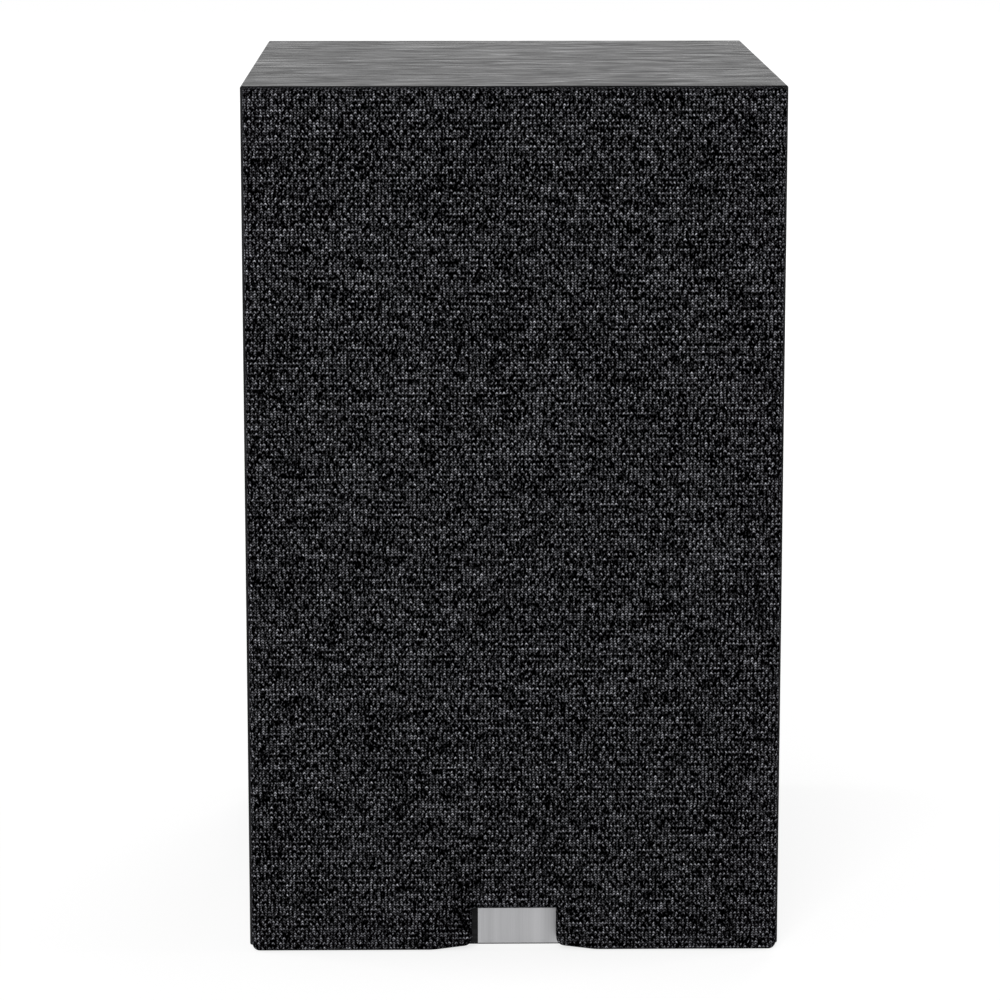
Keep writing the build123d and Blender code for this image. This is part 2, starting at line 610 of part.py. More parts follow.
with BuildPart() as woofer_basket:
    with BuildSketch(WOOFER_SECTION):
        closed_outline(
            [
                (SURROUND_OUTER, TRIM_RING),
                (WOOFER_RADIUS, TRIM_RING),
                (WOOFER_RADIUS, FLANGE_THICKNESS),
                (COLLAR_RADIUS, FLANGE_THICKNESS),
                (COLLAR_RADIUS, BASKET_COLLAR_DEPTH),
                (SPIDER_SEAT_OUTER, SPIDER_SEAT_DEPTH),
                (BASKET_REAR_RADIUS, BASKET_DEPTH - BASKET_WALL),
                (BASKET_REAR_RADIUS, BASKET_DEPTH),
                (BASKET_THROAT_RADIUS, BASKET_DEPTH),
                (BASKET_THROAT_RADIUS, BASKET_DEPTH - BASKET_WALL),
                (BASKET_REAR_RADIUS - BASKET_WALL, BASKET_DEPTH - BASKET_WALL),
                (SPIDER_SEAT_RADIUS - BASKET_WALL / 2, SPIDER_SEAT_BACK),
                (SPIDER_SEAT_INNER, SPIDER_SEAT_BACK),
                (SPIDER_SEAT_INNER, SPIDER_SEAT_DEPTH),
                (SPIDER_SEAT_RADIUS, SPIDER_SEAT_DEPTH),
                (COLLAR_RADIUS - BASKET_WALL, BASKET_COLLAR_DEPTH),
                (COLLAR_RADIUS - BASKET_WALL, LAND_BACK),
                (LAND_RADIUS, LAND_BACK),
                (LAND_RADIUS, SURROUND_BACK),
                (SURROUND_OUTER, SURROUND_BACK),
            ]
        )
    revolve(axis=WOOFER_AXIS)
    for near, far in (
        (BASKET_COLLAR_DEPTH + WINDOW_RIM, SPIDER_SEAT_DEPTH - WINDOW_RIM),
        (SPIDER_SEAT_BACK + WINDOW_RIM, BASKET_DEPTH - 2 * BASKET_WALL),
    ):
        with BuildSketch(facing(FRONT + near, WOOFER_HEIGHT)):
            with BuildLine():
                edge = PolarLine((0, 0), WOOFER_RADIUS, -BASKET_WINDOW_ANGLE / 2)
                rim = CenterArc((0, 0), WOOFER_RADIUS, -BASKET_WINDOW_ANGLE / 2, BASKET_WINDOW_ANGLE)
                Line(rim @ 1, edge @ 0)
            window = make_face(mode=Mode.PRIVATE)
            with PolarLocations(0, BASKET_SPOKES):
                add(window)
            Circle(BASKET_REAR_RADIUS - 2 * BASKET_WALL, mode=Mode.SUBTRACT)
        extrude(amount=near - far, mode=Mode.SUBTRACT)
    with BuildSketch(facing(FRONT, WOOFER_HEIGHT)):
        with PolarLocations(WOOFER_SCREW_CIRCLE, DRIVER_SCREWS):
            Circle(SCREW_RADIUS + SCREW_CLEARANCE)
    extrude(amount=-FLANGE_THICKNESS, mode=Mode.SUBTRACT)
    with BuildSketch(facing(FRONT, WOOFER_HEIGHT)):
        with PolarLocations(WOOFER_SCREW_CIRCLE, DRIVER_SCREWS):
            Circle(SCREW_HEAD_RADIUS + SCREW_CLEARANCE)
    extrude(amount=-SCREW_HEAD_HEIGHT, mode=Mode.SUBTRACT)
finish(woofer_basket, "woofer_basket")

with BuildPart() as woofer_trim_ring:
    with BuildSketch(WOOFER_SECTION):
        ring_section(ROLL_OUTER + TRIM_RING_GAP, WOOFER_RADIUS, 0, TRIM_RING)
    revolve(axis=WOOFER_AXIS)
    ring_rims = woofer_trim_ring.faces().sort_by(Axis.Y)[0].edges()
    fillet(ring_rims, TRIM_RING_ROUND)
    with BuildSketch(facing(FRONT, WOOFER_HEIGHT)):
        with PolarLocations(WOOFER_SCREW_CIRCLE, DRIVER_SCREWS):
            Circle(SCREW_HEAD_RADIUS + SCREW_CLEARANCE)
    extrude(amount=-TRIM_RING, mode=Mode.SUBTRACT)
finish(woofer_trim_ring, "woofer_trim_ring")

with BuildPart() as woofer_gasket:
    with BuildSketch(facing(FRONT + FLANGE_THICKNESS, WOOFER_HEIGHT)):
        Circle(WOOFER_RADIUS)
        Circle(WOOFER_CUTOUT, mode=Mode.SUBTRACT)
        with PolarLocations(WOOFER_SCREW_CIRCLE, DRIVER_SCREWS):
            Circle(SCREW_RADIUS + SCREW_CLEARANCE, mode=Mode.SUBTRACT)
    extrude(amount=-WOOFER_GASKET)
finish(woofer_gasket, "woofer_gasket")

with BuildPart() as woofer_screws:
    with BuildSketch(facing(FRONT + SCREW_HEAD_HEIGHT, WOOFER_HEIGHT)):
        with PolarLocations(WOOFER_SCREW_CIRCLE, DRIVER_SCREWS):
            Circle(SCREW_HEAD_RADIUS)
    extrude(amount=SCREW_HEAD_HEIGHT)
    with BuildSketch(facing(FRONT + SCREW_HEAD_HEIGHT, WOOFER_HEIGHT)):
        with PolarLocations(WOOFER_SCREW_CIRCLE, DRIVER_SCREWS):
            Circle(SCREW_RADIUS)
    extrude(amount=SCREW_HEAD_HEIGHT - SCREW_LENGTH)
    with BuildSketch(facing(FRONT, WOOFER_HEIGHT)):
        with PolarLocations(WOOFER_SCREW_CIRCLE, DRIVER_SCREWS):
            RegularPolygon(SCREW_DRIVE_RADIUS, 6)
    extrude(amount=-SCREW_HEAD_HEIGHT, mode=Mode.SUBTRACT)
finish(woofer_screws, "woofer_screws")

# Woofer surround: glued lips either side of a half roll
ROLL_MIDDLE = (ROLL_OUTER + ROLL_INNER) / 2
ROLL_CREST = SURROUND_SEAT - SURROUND_ROLL_HEIGHT

with BuildPart() as woofer_surround:
    with BuildSketch(WOOFER_SECTION):
        with BuildLine():
            Line((SURROUND_OUTER, SURROUND_SEAT), (ROLL_OUTER, SURROUND_SEAT))
            ThreePointArc((ROLL_OUTER, SURROUND_SEAT), (ROLL_MIDDLE, ROLL_CREST), (ROLL_INNER, SURROUND_SEAT))
            Polyline(
                (ROLL_INNER, SURROUND_SEAT),
                (SURROUND_INNER, SURROUND_SEAT),
                (SURROUND_INNER, SURROUND_BACK),
                (ROLL_INNER + SURROUND_THICKNESS, SURROUND_BACK),
            )
            ThreePointArc(
                (ROLL_INNER + SURROUND_THICKNESS, SURROUND_BACK),
                (ROLL_MIDDLE, ROLL_CREST + SURROUND_THICKNESS),
                (ROLL_OUTER - SURROUND_THICKNESS, SURROUND_BACK),
            )
            Polyline(
                (ROLL_OUTER - SURROUND_THICKNESS, SURROUND_BACK),
                (SURROUND_OUTER, SURROUND_BACK),
                (SURROUND_OUTER, SURROUND_SEAT),
            )
        make_face()
    revolve(axis=WOOFER_AXIS)
finish(woofer_surround, "woofer_surround")

# Woofer cone: a curved wall from the flat rim down to the neck
NECK_RADIUS = FORMER_RADIUS + FORMER_WALL + GLUE_LINE
CONE_STEPS = 8


def cone_depth(radius):
    """Depth of the cone's front face, which falls away more steeply towards the neck."""
    share = (radius - NECK_RADIUS) / (SURROUND_INNER - NECK_RADIUS)
    return CONE_NECK_DEPTH + (SURROUND_BACK - CONE_NECK_DEPTH) * share**CONE_CURVE


CONE_RISE = CONE_NECK_DEPTH - SURROUND_BACK
CONE_RUN = SURROUND_INNER - NECK_RADIUS
CONE_WALL_RADII = [NECK_RADIUS + CONE_RUN * step / CONE_STEPS for step in range(CONE_STEPS + 1)]
CONE_WALL_DEPTH = CONE_THICKNESS * math.hypot(CONE_RISE, CONE_RUN) / CONE_RUN

with BuildPart() as woofer_cone:
    with BuildSketch(WOOFER_SECTION):
        with BuildLine():
            front_curve = Spline(*[(r, cone_depth(r)) for r in CONE_WALL_RADII])
            back_curve = Spline(*[(r, cone_depth(r) + CONE_WALL_DEPTH) for r in CONE_WALL_RADII])
            Line(front_curve @ 0, back_curve @ 0)
            Polyline(
                front_curve @ 1,
                (SURROUND_INNER + CONE_RIM_WIDTH, SURROUND_BACK),
                (SURROUND_INNER + CONE_RIM_WIDTH, SURROUND_BACK + CONE_THICKNESS),
                (SURROUND_INNER, SURROUND_BACK + CONE_THICKNESS),
                back_curve @ 1,
            )
        make_face()
    revolve(axis=WOOFER_AXIS)
finish(woofer_cone, "woofer_cone")

CAP_INNER = DUST_CAP_RADIUS - DUST_CAP_THICKNESS
CAP_SEAT = cone_depth(DUST_CAP_RADIUS) - GLUE_LINE
CAP_INNER_SEAT = cone_depth(CAP_INNER) - GLUE_LINE
CAP_CREST = CAP_SEAT - DUST_CAP_RISE

with BuildPart() as woofer_dust_cap:
    with BuildSketch(WOOFER_SECTION):
        with BuildLine():
            outside = TangentArc((0, CAP_CREST), (DUST_CAP_RADIUS, CAP_SEAT), tangent=(1, 0))
            inside = TangentArc(
                (0, CAP_CREST + DUST_CAP_THICKNESS), (CAP_INNER, CAP_INNER_SEAT), tangent=(1, 0)
            )
            Line(outside @ 0, inside @ 0)
            Line(outside @ 1, inside @ 1)
        make_face()
    revolve(axis=WOOFER_AXIS)
finish(woofer_dust_cap, "woofer_dust_cap")

# Woofer voice coil and spider
FORMER_OUTER = FORMER_RADIUS + FORMER_WALL
COIL_INNER = FORMER_OUTER + GLUE_LINE
COIL_OUTER = COIL_INNER + WOOFER_COIL_WALL
TOP_PLATE_BACK = BASKET_DEPTH + WOOFER_TOP_PLATE
MAGNET_BACK = TOP_PLATE_BACK + WOOFER_MAGNET
BACK_PLATE_BACK = MAGNET_BACK + WOOFER_BACK_PLATE
COIL_MIDDLE = BASKET_DEPTH + WOOFER_TOP_PLATE / 2

with BuildPart() as woofer_coil_former:
    with BuildSketch(WOOFER_SECTION):
        ring_section(FORMER_RADIUS, FORMER_OUTER, FORMER_TOP, FORMER_END)
    revolve(axis=WOOFER_AXIS)
finish(woofer_coil_former, "woofer_coil_former")

with BuildPart() as woofer_voice_coil:
    with BuildSketch(WOOFER_SECTION):
        ring_section(
            COIL_INNER,
            COIL_OUTER,
            COIL_MIDDLE - WOOFER_COIL_LENGTH / 2,
            COIL_MIDDLE + WOOFER_COIL_LENGTH / 2,
        )
    revolve(axis=WOOFER_AXIS)
finish(woofer_voice_coil, "woofer_voice_coil")

SPIDER_FRONT = SPIDER_SEAT_DEPTH - SPIDER_THICKNESS
WAVE_WIDTH = (SPIDER_SEAT_INNER - COIL_INNER) / SPIDER_WAVES


def spider_face(depth):
    """Folds of the spider from the coil out to its seat, alternately in front of and behind its middle."""
    folds = [
        (COIL_INNER + (wave + 0.5) * WAVE_WIDTH, depth - SPIDER_WAVE_HEIGHT * (-1) ** wave)
        for wave in range(SPIDER_WAVES)
    ]
    return [(COIL_INNER, depth), *folds, (SPIDER_SEAT_INNER, depth), (SPIDER_SEAT_RADIUS, depth)]


with BuildPart() as woofer_spider:
    with BuildSketch(WOOFER_SECTION):
        closed_outline(spider_face(SPIDER_FRONT) + spider_face(SPIDER_SEAT_DEPTH)[::-1])
    revolve(axis=WOOFER_AXIS)
finish(woofer_spider, "woofer_spider")

# Woofer motor
POLE_RADIUS = FORMER_RADIUS - MAGNETIC_GAP

with BuildPart() as woofer_top_plate:
    with BuildSketch(WOOFER_SECTION):
        ring_section(COIL_OUTER + MAGNETIC_GAP, WOOFER_TOP_PLATE_RADIUS, BASKET_DEPTH, TOP_PLATE_BACK)
    revolve(axis=WOOFER_AXIS)
finish(woofer_top_plate, "woofer_top_plate")

with BuildPart() as woofer_magnet:
    with BuildSketch(WOOFER_SECTION):
        ring_section(WOOFER_MAGNET_BORE, WOOFER_MAGNET_RADIUS, TOP_PLATE_BACK, MAGNET_BACK)
    revolve(axis=WOOFER_AXIS)
    magnet_rims = woofer_magnet.edges().filter_by(GeomType.CIRCLE).sort_by(SortBy.RADIUS)[-2:]
    chamfer(magnet_rims, POLE_BEVEL)
finish(woofer_magnet, "woofer_magnet")

with BuildPart() as woofer_back_plate:
    with BuildSketch(WOOFER_SECTION):
        closed_outline(
            [
                (POLE_VENT_RADIUS, BASKET_DEPTH),
                (POLE_RADIUS - POLE_BEVEL, BASKET_DEPTH),
                (POLE_RADIUS, BASKET_DEPTH + POLE_BEVEL),
                (POLE_RADIUS, MAGNET_BACK),
                (WOOFER_TOP_PLATE_RADIUS, MAGNET_BACK),
                (WOOFER_TOP_PLATE_RADIUS, BACK_PLATE_BACK - POLE_BEVEL),
                (WOOFER_TOP_PLATE_RADIUS - POLE_BEVEL, BACK_PLATE_BACK),
                (POLE_VENT_RADIUS, BACK_PLATE_BACK),
            ]
        )
    revolve(axis=WOOFER_AXIS)
finish(woofer_back_plate, "woofer_back_plate")

# Woofer terminal strip, riveted to the lowest spoke of the basket
SPOKE_SLOPE = math.atan2(SPIDER_SEAT_DEPTH - BASKET_COLLAR_DEPTH, COLLAR_RADIUS - SPIDER_SEAT_OUTER)
SPOKE_RADIUS = (COLLAR_RADIUS + SPIDER_SEAT_OUTER) / 2
SPOKE_DEPTH = (BASKET_COLLAR_DEPTH + SPIDER_SEAT_DEPTH) / 2
STRIP_PLANE = Plane(
    origin=(0, FRONT + SPOKE_DEPTH, WOOFER_HEIGHT - SPOKE_RADIUS),
    x_dir=(1, 0, 0),
    z_dir=(0, math.cos(SPOKE_SLOPE), -math.sin(SPOKE_SLOPE)),
)
TAB_SIDES = (-TAB_SPACING / 2, TAB_SPACING / 2)

with BuildPart() as woofer_terminals:
    with BuildSketch(STRIP_PLANE):
        Rectangle(CARRIER_WIDTH, CARRIER_LENGTH)
    extrude(amount=CARRIER_THICKNESS)
    with BuildSketch(STRIP_PLANE.offset(CARRIER_THICKNESS)):
        with Locations(*[(x, 0) for x in TAB_SIDES]):
            Rectangle(TAB_WIDTH, TAB_THICKNESS)
    extrude(amount=TAB_LENGTH)
finish(woofer_terminals, "woofer_terminals")

# Tweeter faceplate with its waveguide
WAVEGUIDE_RADIUS = FACEPLATE_RADIUS - WAVEGUIDE_RIM
DOME_SEAT = TWEETER_HUB_DEPTH - SUSPENSION_THICKNESS - GUARD_FIT

with BuildPart() as tweeter_faceplate:
    with BuildSketch(TWEETER_SECTION):
        with BuildLine():
            TangentArc((WAVEGUIDE_RADIUS, 0), (THROAT_RADIUS, WAVEGUIDE_DEPTH), tangent=(-1, 0))
            Polyline(
                (THROAT_RADIUS, WAVEGUIDE_DEPTH),
                (THROAT_RADIUS, DOME_SEAT),
                (SUSPENSION_SEAT_RADIUS + GUARD_FIT, DOME_SEAT),
                (SUSPENSION_SEAT_RADIUS + GUARD_FIT, TWEETER_HUB_DEPTH),
                (TWEETER_HUB_RADIUS, TWEETER_HUB_DEPTH),
                (TWEETER_HUB_RADIUS, FACEPLATE_THICKNESS),
                (FACEPLATE_RADIUS, FACEPLATE_THICKNESS),
                (FACEPLATE_RADIUS, 0),
                (WAVEGUIDE_RADIUS, 0),
            )
        make_face()
    revolve(axis=TWEETER_AXIS)
    with BuildSketch(facing(FRONT, TWEETER_HEIGHT)):
        with PolarLocations(TWEETER_SCREW_CIRCLE, TWEETER_SCREWS, start_angle=45):
            Circle(SCREW_RADIUS + SCREW_CLEARANCE)
    extrude(amount=-FACEPLATE_THICKNESS, mode=Mode.SUBTRACT)
    with BuildSketch(facing(FRONT, TWEETER_HEIGHT)):
        with PolarLocations(TWEETER_SCREW_CIRCLE, TWEETER_SCREWS, start_angle=45):
            Circle(TWEETER_SCREW_HEAD_RADIUS + SCREW_CLEARANCE)
    extrude(amount=-SCREW_HEAD_HEIGHT, mode=Mode.SUBTRACT)
finish(tweeter_faceplate, "tweeter_faceplate")

with BuildPart() as tweeter_gasket:
    with BuildSketch(facing(FRONT + FACEPLATE_THICKNESS, TWEETER_HEIGHT)):
        Circle(FACEPLATE_RADIUS)
        Circle(TWEETER_CUTOUT, mode=Mode.SUBTRACT)
        with PolarLocations(TWEETER_SCREW_CIRCLE, TWEETER_SCREWS, start_angle=45):
            Circle(SCREW_RADIUS + SCREW_CLEARANCE, mode=Mode.SUBTRACT)
    extrude(amount=-TWEETER_GASKET)
finish(tweeter_gasket, "tweeter_gasket")

with BuildPart() as tweeter_screws:
    with BuildSketch(facing(FRONT + SCREW_HEAD_HEIGHT, TWEETER_HEIGHT)):
        with PolarLocations(TWEETER_SCREW_CIRCLE, TWEETER_SCREWS, start_angle=45):
            Circle(TWEETER_SCREW_HEAD_RADIUS)
    extrude(amount=SCREW_HEAD_HEIGHT)
    with BuildSketch(facing(FRONT + SCREW_HEAD_HEIGHT, TWEETER_HEIGHT)):
        with PolarLocations(TWEETER_SCREW_CIRCLE, TWEETER_SCREWS, start_angle=45):
            Circle(SCREW_RADIUS)
    extrude(amount=SCREW_HEAD_HEIGHT - SCREW_LENGTH)
    with BuildSketch(facing(FRONT, TWEETER_HEIGHT)):
        with PolarLocations(TWEETER_SCREW_CIRCLE, TWEETER_SCREWS, start_angle=45):
            RegularPolygon(SCREW_DRIVE_RADIUS, 6)
    extrude(amount=-SCREW_HEAD_HEIGHT, mode=Mode.SUBTRACT)
finish(tweeter_screws, "tweeter_screws")

# Perforated guard over the dome, pressed into the throat
GUARD_RADIUS = THROAT_RADIUS - GUARD_FIT
GUARD_BASE = WAVEGUIDE_DEPTH + GUARD_FIT
GUARD_CREST = GUARD_BASE - GUARD_RISE

with BuildPart() as tweeter_guard:
    with BuildSketch(TWEETER_SECTION):
        with BuildLine():
            outside = TangentArc((0, GUARD_CREST), (GUARD_RADIUS, GUARD_BASE), tangent=(1, 0))
            inside = TangentArc(
                (0, GUARD_CREST + GUARD_THICKNESS), (GUARD_RADIUS - GUARD_RIM, GUARD_BASE), tangent=(1, 0)
            )
            Line(outside @ 0, inside @ 0)
            Polyline(
                outside @ 1,
                (GUARD_RADIUS, GUARD_BASE + GUARD_RIM_HEIGHT),
                (GUARD_RADIUS - GUARD_RIM, GUARD_BASE + GUARD_RIM_HEIGHT),
                inside @ 1,
            )
        make_face()
    revolve(axis=TWEETER_AXIS)
    with BuildSketch(facing(FRONT + GUARD_BASE, TWEETER_HEIGHT)):
        Circle(GUARD_HOLE_RADIUS)
        for ring in range(1, GUARD_HOLE_RINGS + 1):
            with PolarLocations(ring * GUARD_HOLE_PITCH, 6 * ring):
                Circle(GUARD_HOLE_RADIUS)
    extrude(amount=GUARD_RISE, mode=Mode.SUBTRACT)
finish(tweeter_guard, "tweeter_guard")

# Tweeter moving parts
SUSPENSION_BACK = DOME_SEAT + SUSPENSION_THICKNESS
SUSPENSION_ROLL_OUTER = SUSPENSION_SEAT_RADIUS - SUSPENSION_LIP

with BuildPart() as tweeter_dome:
    with BuildSketch(TWEETER_SECTION):
        with BuildLine():
            outside = TangentArc((0, DOME_SEAT - DOME_RISE), (DOME_RADIUS, DOME_SEAT), tangent=(1, 0))
            inside = TangentArc(
                (0, DOME_SEAT - DOME_RISE + DOME_THICKNESS),
                (DOME_RADIUS - DOME_THICKNESS, DOME_SEAT),
                tangent=(1, 0),
            )
            Line(outside @ 0, inside @ 0)
            Polyline(
                outside @ 1,
                (DOME_RADIUS, SUSPENSION_BACK),
                (DOME_RADIUS - DOME_THICKNESS, SUSPENSION_BACK),
                inside @ 1,
            )
        make_face()
    revolve(axis=TWEETER_AXIS)
finish(tweeter_dome, "tweeter_dome")

with BuildPart() as tweeter_surround:
    with BuildSketch(TWEETER_SECTION):
        with BuildLine():
            roll_inner = DOME_RADIUS + GLUE_LINE
            roll_middle = (roll_inner + SUSPENSION_ROLL_OUTER) / 2
            for face_depth in (DOME_SEAT, SUSPENSION_BACK):
                ThreePointArc(
                    (roll_inner, face_depth),
                    (roll_middle, face_depth - SUSPENSION_RISE),
                    (SUSPENSION_ROLL_OUTER, face_depth),
                )
            Line((roll_inner, DOME_SEAT), (roll_inner, SUSPENSION_BACK))
            Polyline(
                (SUSPENSION_ROLL_OUTER, DOME_SEAT),
                (SUSPENSION_SEAT_RADIUS, DOME_SEAT),
                (SUSPENSION_SEAT_RADIUS, SUSPENSION_BACK),
                (SUSPENSION_ROLL_OUTER, SUSPENSION_BACK),
            )
        make_face()
    revolve(axis=TWEETER_AXIS)
finish(tweeter_surround, "tweeter_surround")

with BuildPart() as tweeter_voice_coil:
    with BuildSketch(TWEETER_SECTION):
        ring_section(DOME_RADIUS - TWEETER_COIL_WALL, DOME_RADIUS, SUSPENSION_BACK, TWEETER_COIL_END)
    revolve(axis=TWEETER_AXIS)
finish(tweeter_voice_coil, "tweeter_voice_coil")

# Tweeter motor
TWEETER_PLATE_BACK = TWEETER_HUB_DEPTH + TWEETER_TOP_PLATE
TWEETER_MAGNET_BACK = TWEETER_PLATE_BACK + TWEETER_MAGNET
TWEETER_BACK = TWEETER_MAGNET_BACK + TWEETER_BACK_PLATE
TWEETER_POLE_RADIUS = DOME_RADIUS - TWEETER_COIL_WALL - TWEETER_MAGNETIC_GAP
TWEETER_POLE_TOP = TWEETER_HUB_DEPTH + TWEETER_MAGNETIC_GAP

with BuildPart() as tweeter_top_plate:
    with BuildSketch(TWEETER_SECTION):
        ring_section(
            DOME_RADIUS + TWEETER_MAGNETIC_GAP,
            TWEETER_TOP_PLATE_RADIUS,
            TWEETER_HUB_DEPTH,
            TWEETER_PLATE_BACK,
        )
    revolve(axis=TWEETER_AXIS)
finish(tweeter_top_plate, "tweeter_top_plate")

with BuildPart() as tweeter_magnet:
    with BuildSketch(TWEETER_SECTION):
        ring_section(TWEETER_MAGNET_BORE, TWEETER_MAGNET_RADIUS, TWEETER_PLATE_BACK, TWEETER_MAGNET_BACK)
    revolve(axis=TWEETER_AXIS)
finish(tweeter_magnet, "tweeter_magnet")

with BuildPart() as tweeter_back_plate:
    with BuildSketch(TWEETER_SECTION):
        ring_section(0, TWEETER_TOP_PLATE_RADIUS, TWEETER_MAGNET_BACK, TWEETER_BACK)
        ring_section(0, TWEETER_POLE_RADIUS, TWEETER_POLE_TOP, TWEETER_MAGNET_BACK)
    revolve(axis=TWEETER_AXIS)
finish(tweeter_back_plate, "tweeter_back_plate")

with BuildPart() as tweeter_terminals:
    with BuildSketch(facing(FRONT + TWEETER_BACK, TWEETER_HEIGHT)):
        Rectangle(CARRIER_WIDTH, CARRIER_LENGTH)
    extrude(amount=-CARRIER_THICKNESS)
    with BuildSketch(facing(FRONT + TWEETER_BACK + CARRIER_THICKNESS, TWEETER_HEIGHT)):
        with Locations(*[(x, 0) for x in TAB_SIDES]):
            Rectangle(TAB_WIDTH, TAB_THICKNESS)
    extrude(amount=-TAB_LENGTH)
finish(tweeter_terminals, "tweeter_terminals")

# Port: a flared mouth let into the rear panel, and the tube pushed over its sleeve
PORT_SECTION = Plane(origin=(0, REAR, PORT_HEIGHT), x_dir=(1, 0, 0), z_dir=(0, 0, -1))
PORT_AXIS = Axis((0, REAR, PORT_HEIGHT), (0, 1, 0))
SLEEVE_END = PORT_FLARE_DEPTH + PORT_SLEEVE

with BuildPart() as port_flare:
    with BuildSketch(PORT_SECTION):
        with BuildLine():
            bore_curve = TangentArc((PORT_RADIUS, PORT_FLARE_DEPTH), (PORT_MOUTH_RADIUS, 0), tangent=(0, -1))
            back_curve = TangentArc(
                (PORT_SLEEVE_RADIUS, PORT_FLARE_DEPTH), (PORT_HOLE, PORT_FLANGE), tangent=(0, -1)
            )
            Polyline(
                bore_curve @ 1, (PORT_FLANGE_RADIUS, 0), (PORT_FLANGE_RADIUS, PORT_FLANGE), back_curve @ 1
            )
            Polyline(
                back_curve @ 0, (PORT_SLEEVE_RADIUS, SLEEVE_END), (PORT_RADIUS, SLEEVE_END), bore_curve @ 0
            )
        make_face()
    revolve(axis=PORT_AXIS)
finish(port_flare, "port_flare")

with BuildPart() as port_tube:
    with BuildSketch(PORT_SECTION):
        ring_section(
            PORT_SLEEVE_RADIUS + PORT_FIT,
            PORT_SLEEVE_RADIUS + PORT_FIT + PORT_WALL,
            PORT_FLARE_DEPTH,
            PORT_LENGTH,
        )
    revolve(axis=PORT_AXIS)
finish(port_tube, "port_tube")

# Terminal cup
CUP_FLOOR_Y = REAR - CUP_RECESS
CUP_INSIDE_Y = CUP_FLOOR_Y - CUP_FLOOR
POST_SIDES = {"positive": -POST_PITCH / 2, "negative": POST_PITCH / 2}
POST_POINTS = [(x, 0) for x in POST_SIDES.values()]

with BuildPart() as terminal_cup:
    with BuildSketch(facing(REAR, CUP_HEIGHT)):
        RectangleRounded(CUP_FLANGE_WIDTH, CUP_FLANGE_HEIGHT, CUP_CORNER)
    extrude(amount=CUP_FLANGE)
    with BuildSketch(facing(REAR - CUP_FLANGE, CUP_HEIGHT)):
        RectangleRounded(CUP_BODY_WIDTH, CUP_BODY_HEIGHT, CUP_CORNER)
    extrude(amount=CUP_RECESS + CUP_FLOOR - CUP_FLANGE, taper=CUP_DRAFT)
    with BuildSketch(facing(REAR, CUP_HEIGHT)):
        RectangleRounded(CUP_BODY_WIDTH - 2 * CUP_WALL, CUP_BODY_HEIGHT - 2 * CUP_WALL, CUP_CORNER - CUP_WALL)
    extrude(amount=CUP_RECESS, taper=CUP_DRAFT, mode=Mode.SUBTRACT)
    with BuildSketch(facing(REAR, CUP_HEIGHT)):
        with Locations(*POST_POINTS):
            Circle(POST_RADIUS + POST_HOLE_CLEARANCE)
    extrude(amount=CUP_RECESS + CUP_FLOOR, mode=Mode.SUBTRACT)
    with BuildSketch(facing(REAR, CUP_HEIGHT)):
        with GridLocations(CUP_SCREW_X, CUP_SCREW_Z, 2, 2):
            Circle(CUP_SCREW_RADIUS + SCREW_CLEARANCE)
    extrude(amount=CUP_FLANGE, mode=Mode.SUBTRACT)
    with BuildSketch(facing(REAR, CUP_HEIGHT)):
        with GridLocations(CUP_SCREW_X, CUP_SCREW_Z, 2, 2):
            Circle(CUP_SCREW_HEAD_RADIUS + SCREW_CLEARANCE)
    extrude(amount=CUP_SCREW_HEAD_HEIGHT, mode=Mode.SUBTRACT)
finish(terminal_cup, "terminal_cup")

with BuildPart() as terminal_gasket:
    with BuildSketch(facing(REAR - CUP_FLANGE, CUP_HEIGHT)):
        RectangleRounded(CUP_FLANGE_WIDTH, CUP_FLANGE_HEIGHT, CUP_CORNER)
        RectangleRounded(CUP_CUTOUT_WIDTH, CUP_CUTOUT_HEIGHT, CUP_CORNER, mode=Mode.SUBTRACT)
        with GridLocations(CUP_SCREW_X, CUP_SCREW_Z, 2, 2):
            Circle(CUP_SCREW_RADIUS + SCREW_CLEARANCE, mode=Mode.SUBTRACT)
    extrude(amount=CUP_GASKET)
finish(terminal_gasket, "terminal_gasket")

with BuildPart() as terminal_screws:
    with BuildSketch(facing(REAR - CUP_SCREW_HEAD_HEIGHT, CUP_HEIGHT)):
        with GridLocations(CUP_SCREW_X, CUP_SCREW_Z, 2, 2):
            Circle(CUP_SCREW_HEAD_RADIUS)
    extrude(amount=-CUP_SCREW_HEAD_HEIGHT)
    with BuildSketch(facing(REAR - CUP_SCREW_HEAD_HEIGHT, CUP_HEIGHT)):
        with GridLocations(CUP_SCREW_X, CUP_SCREW_Z, 2, 2):
            Circle(CUP_SCREW_RADIUS)
    extrude(amount=CUP_SCREW_LENGTH - CUP_SCREW_HEAD_HEIGHT)
    with BuildSketch(facing(REAR, CUP_HEIGHT)):
        with GridLocations(CUP_SCREW_X, CUP_SCREW_Z, 2, 2):
            RegularPolygon(SCREW_DRIVE_RADIUS, 6)
    extrude(amount=CUP_SCREW_HEAD_HEIGHT, mode=Mode.SUBTRACT)
finish(terminal_screws, "terminal_screws")

# Binding posts: stud, clamp ring and knob, one set for each pole
RING_NEAR = POST_SHOULDER + CLAMP_RING_REST
RING_FAR = RING_NEAR + CLAMP_RING_THICKNESS
KNOB_NEAR = RING_FAR + KNOB_REST
KNOB_FAR = POST_OUTER_LENGTH + KNOB_OVERHANG

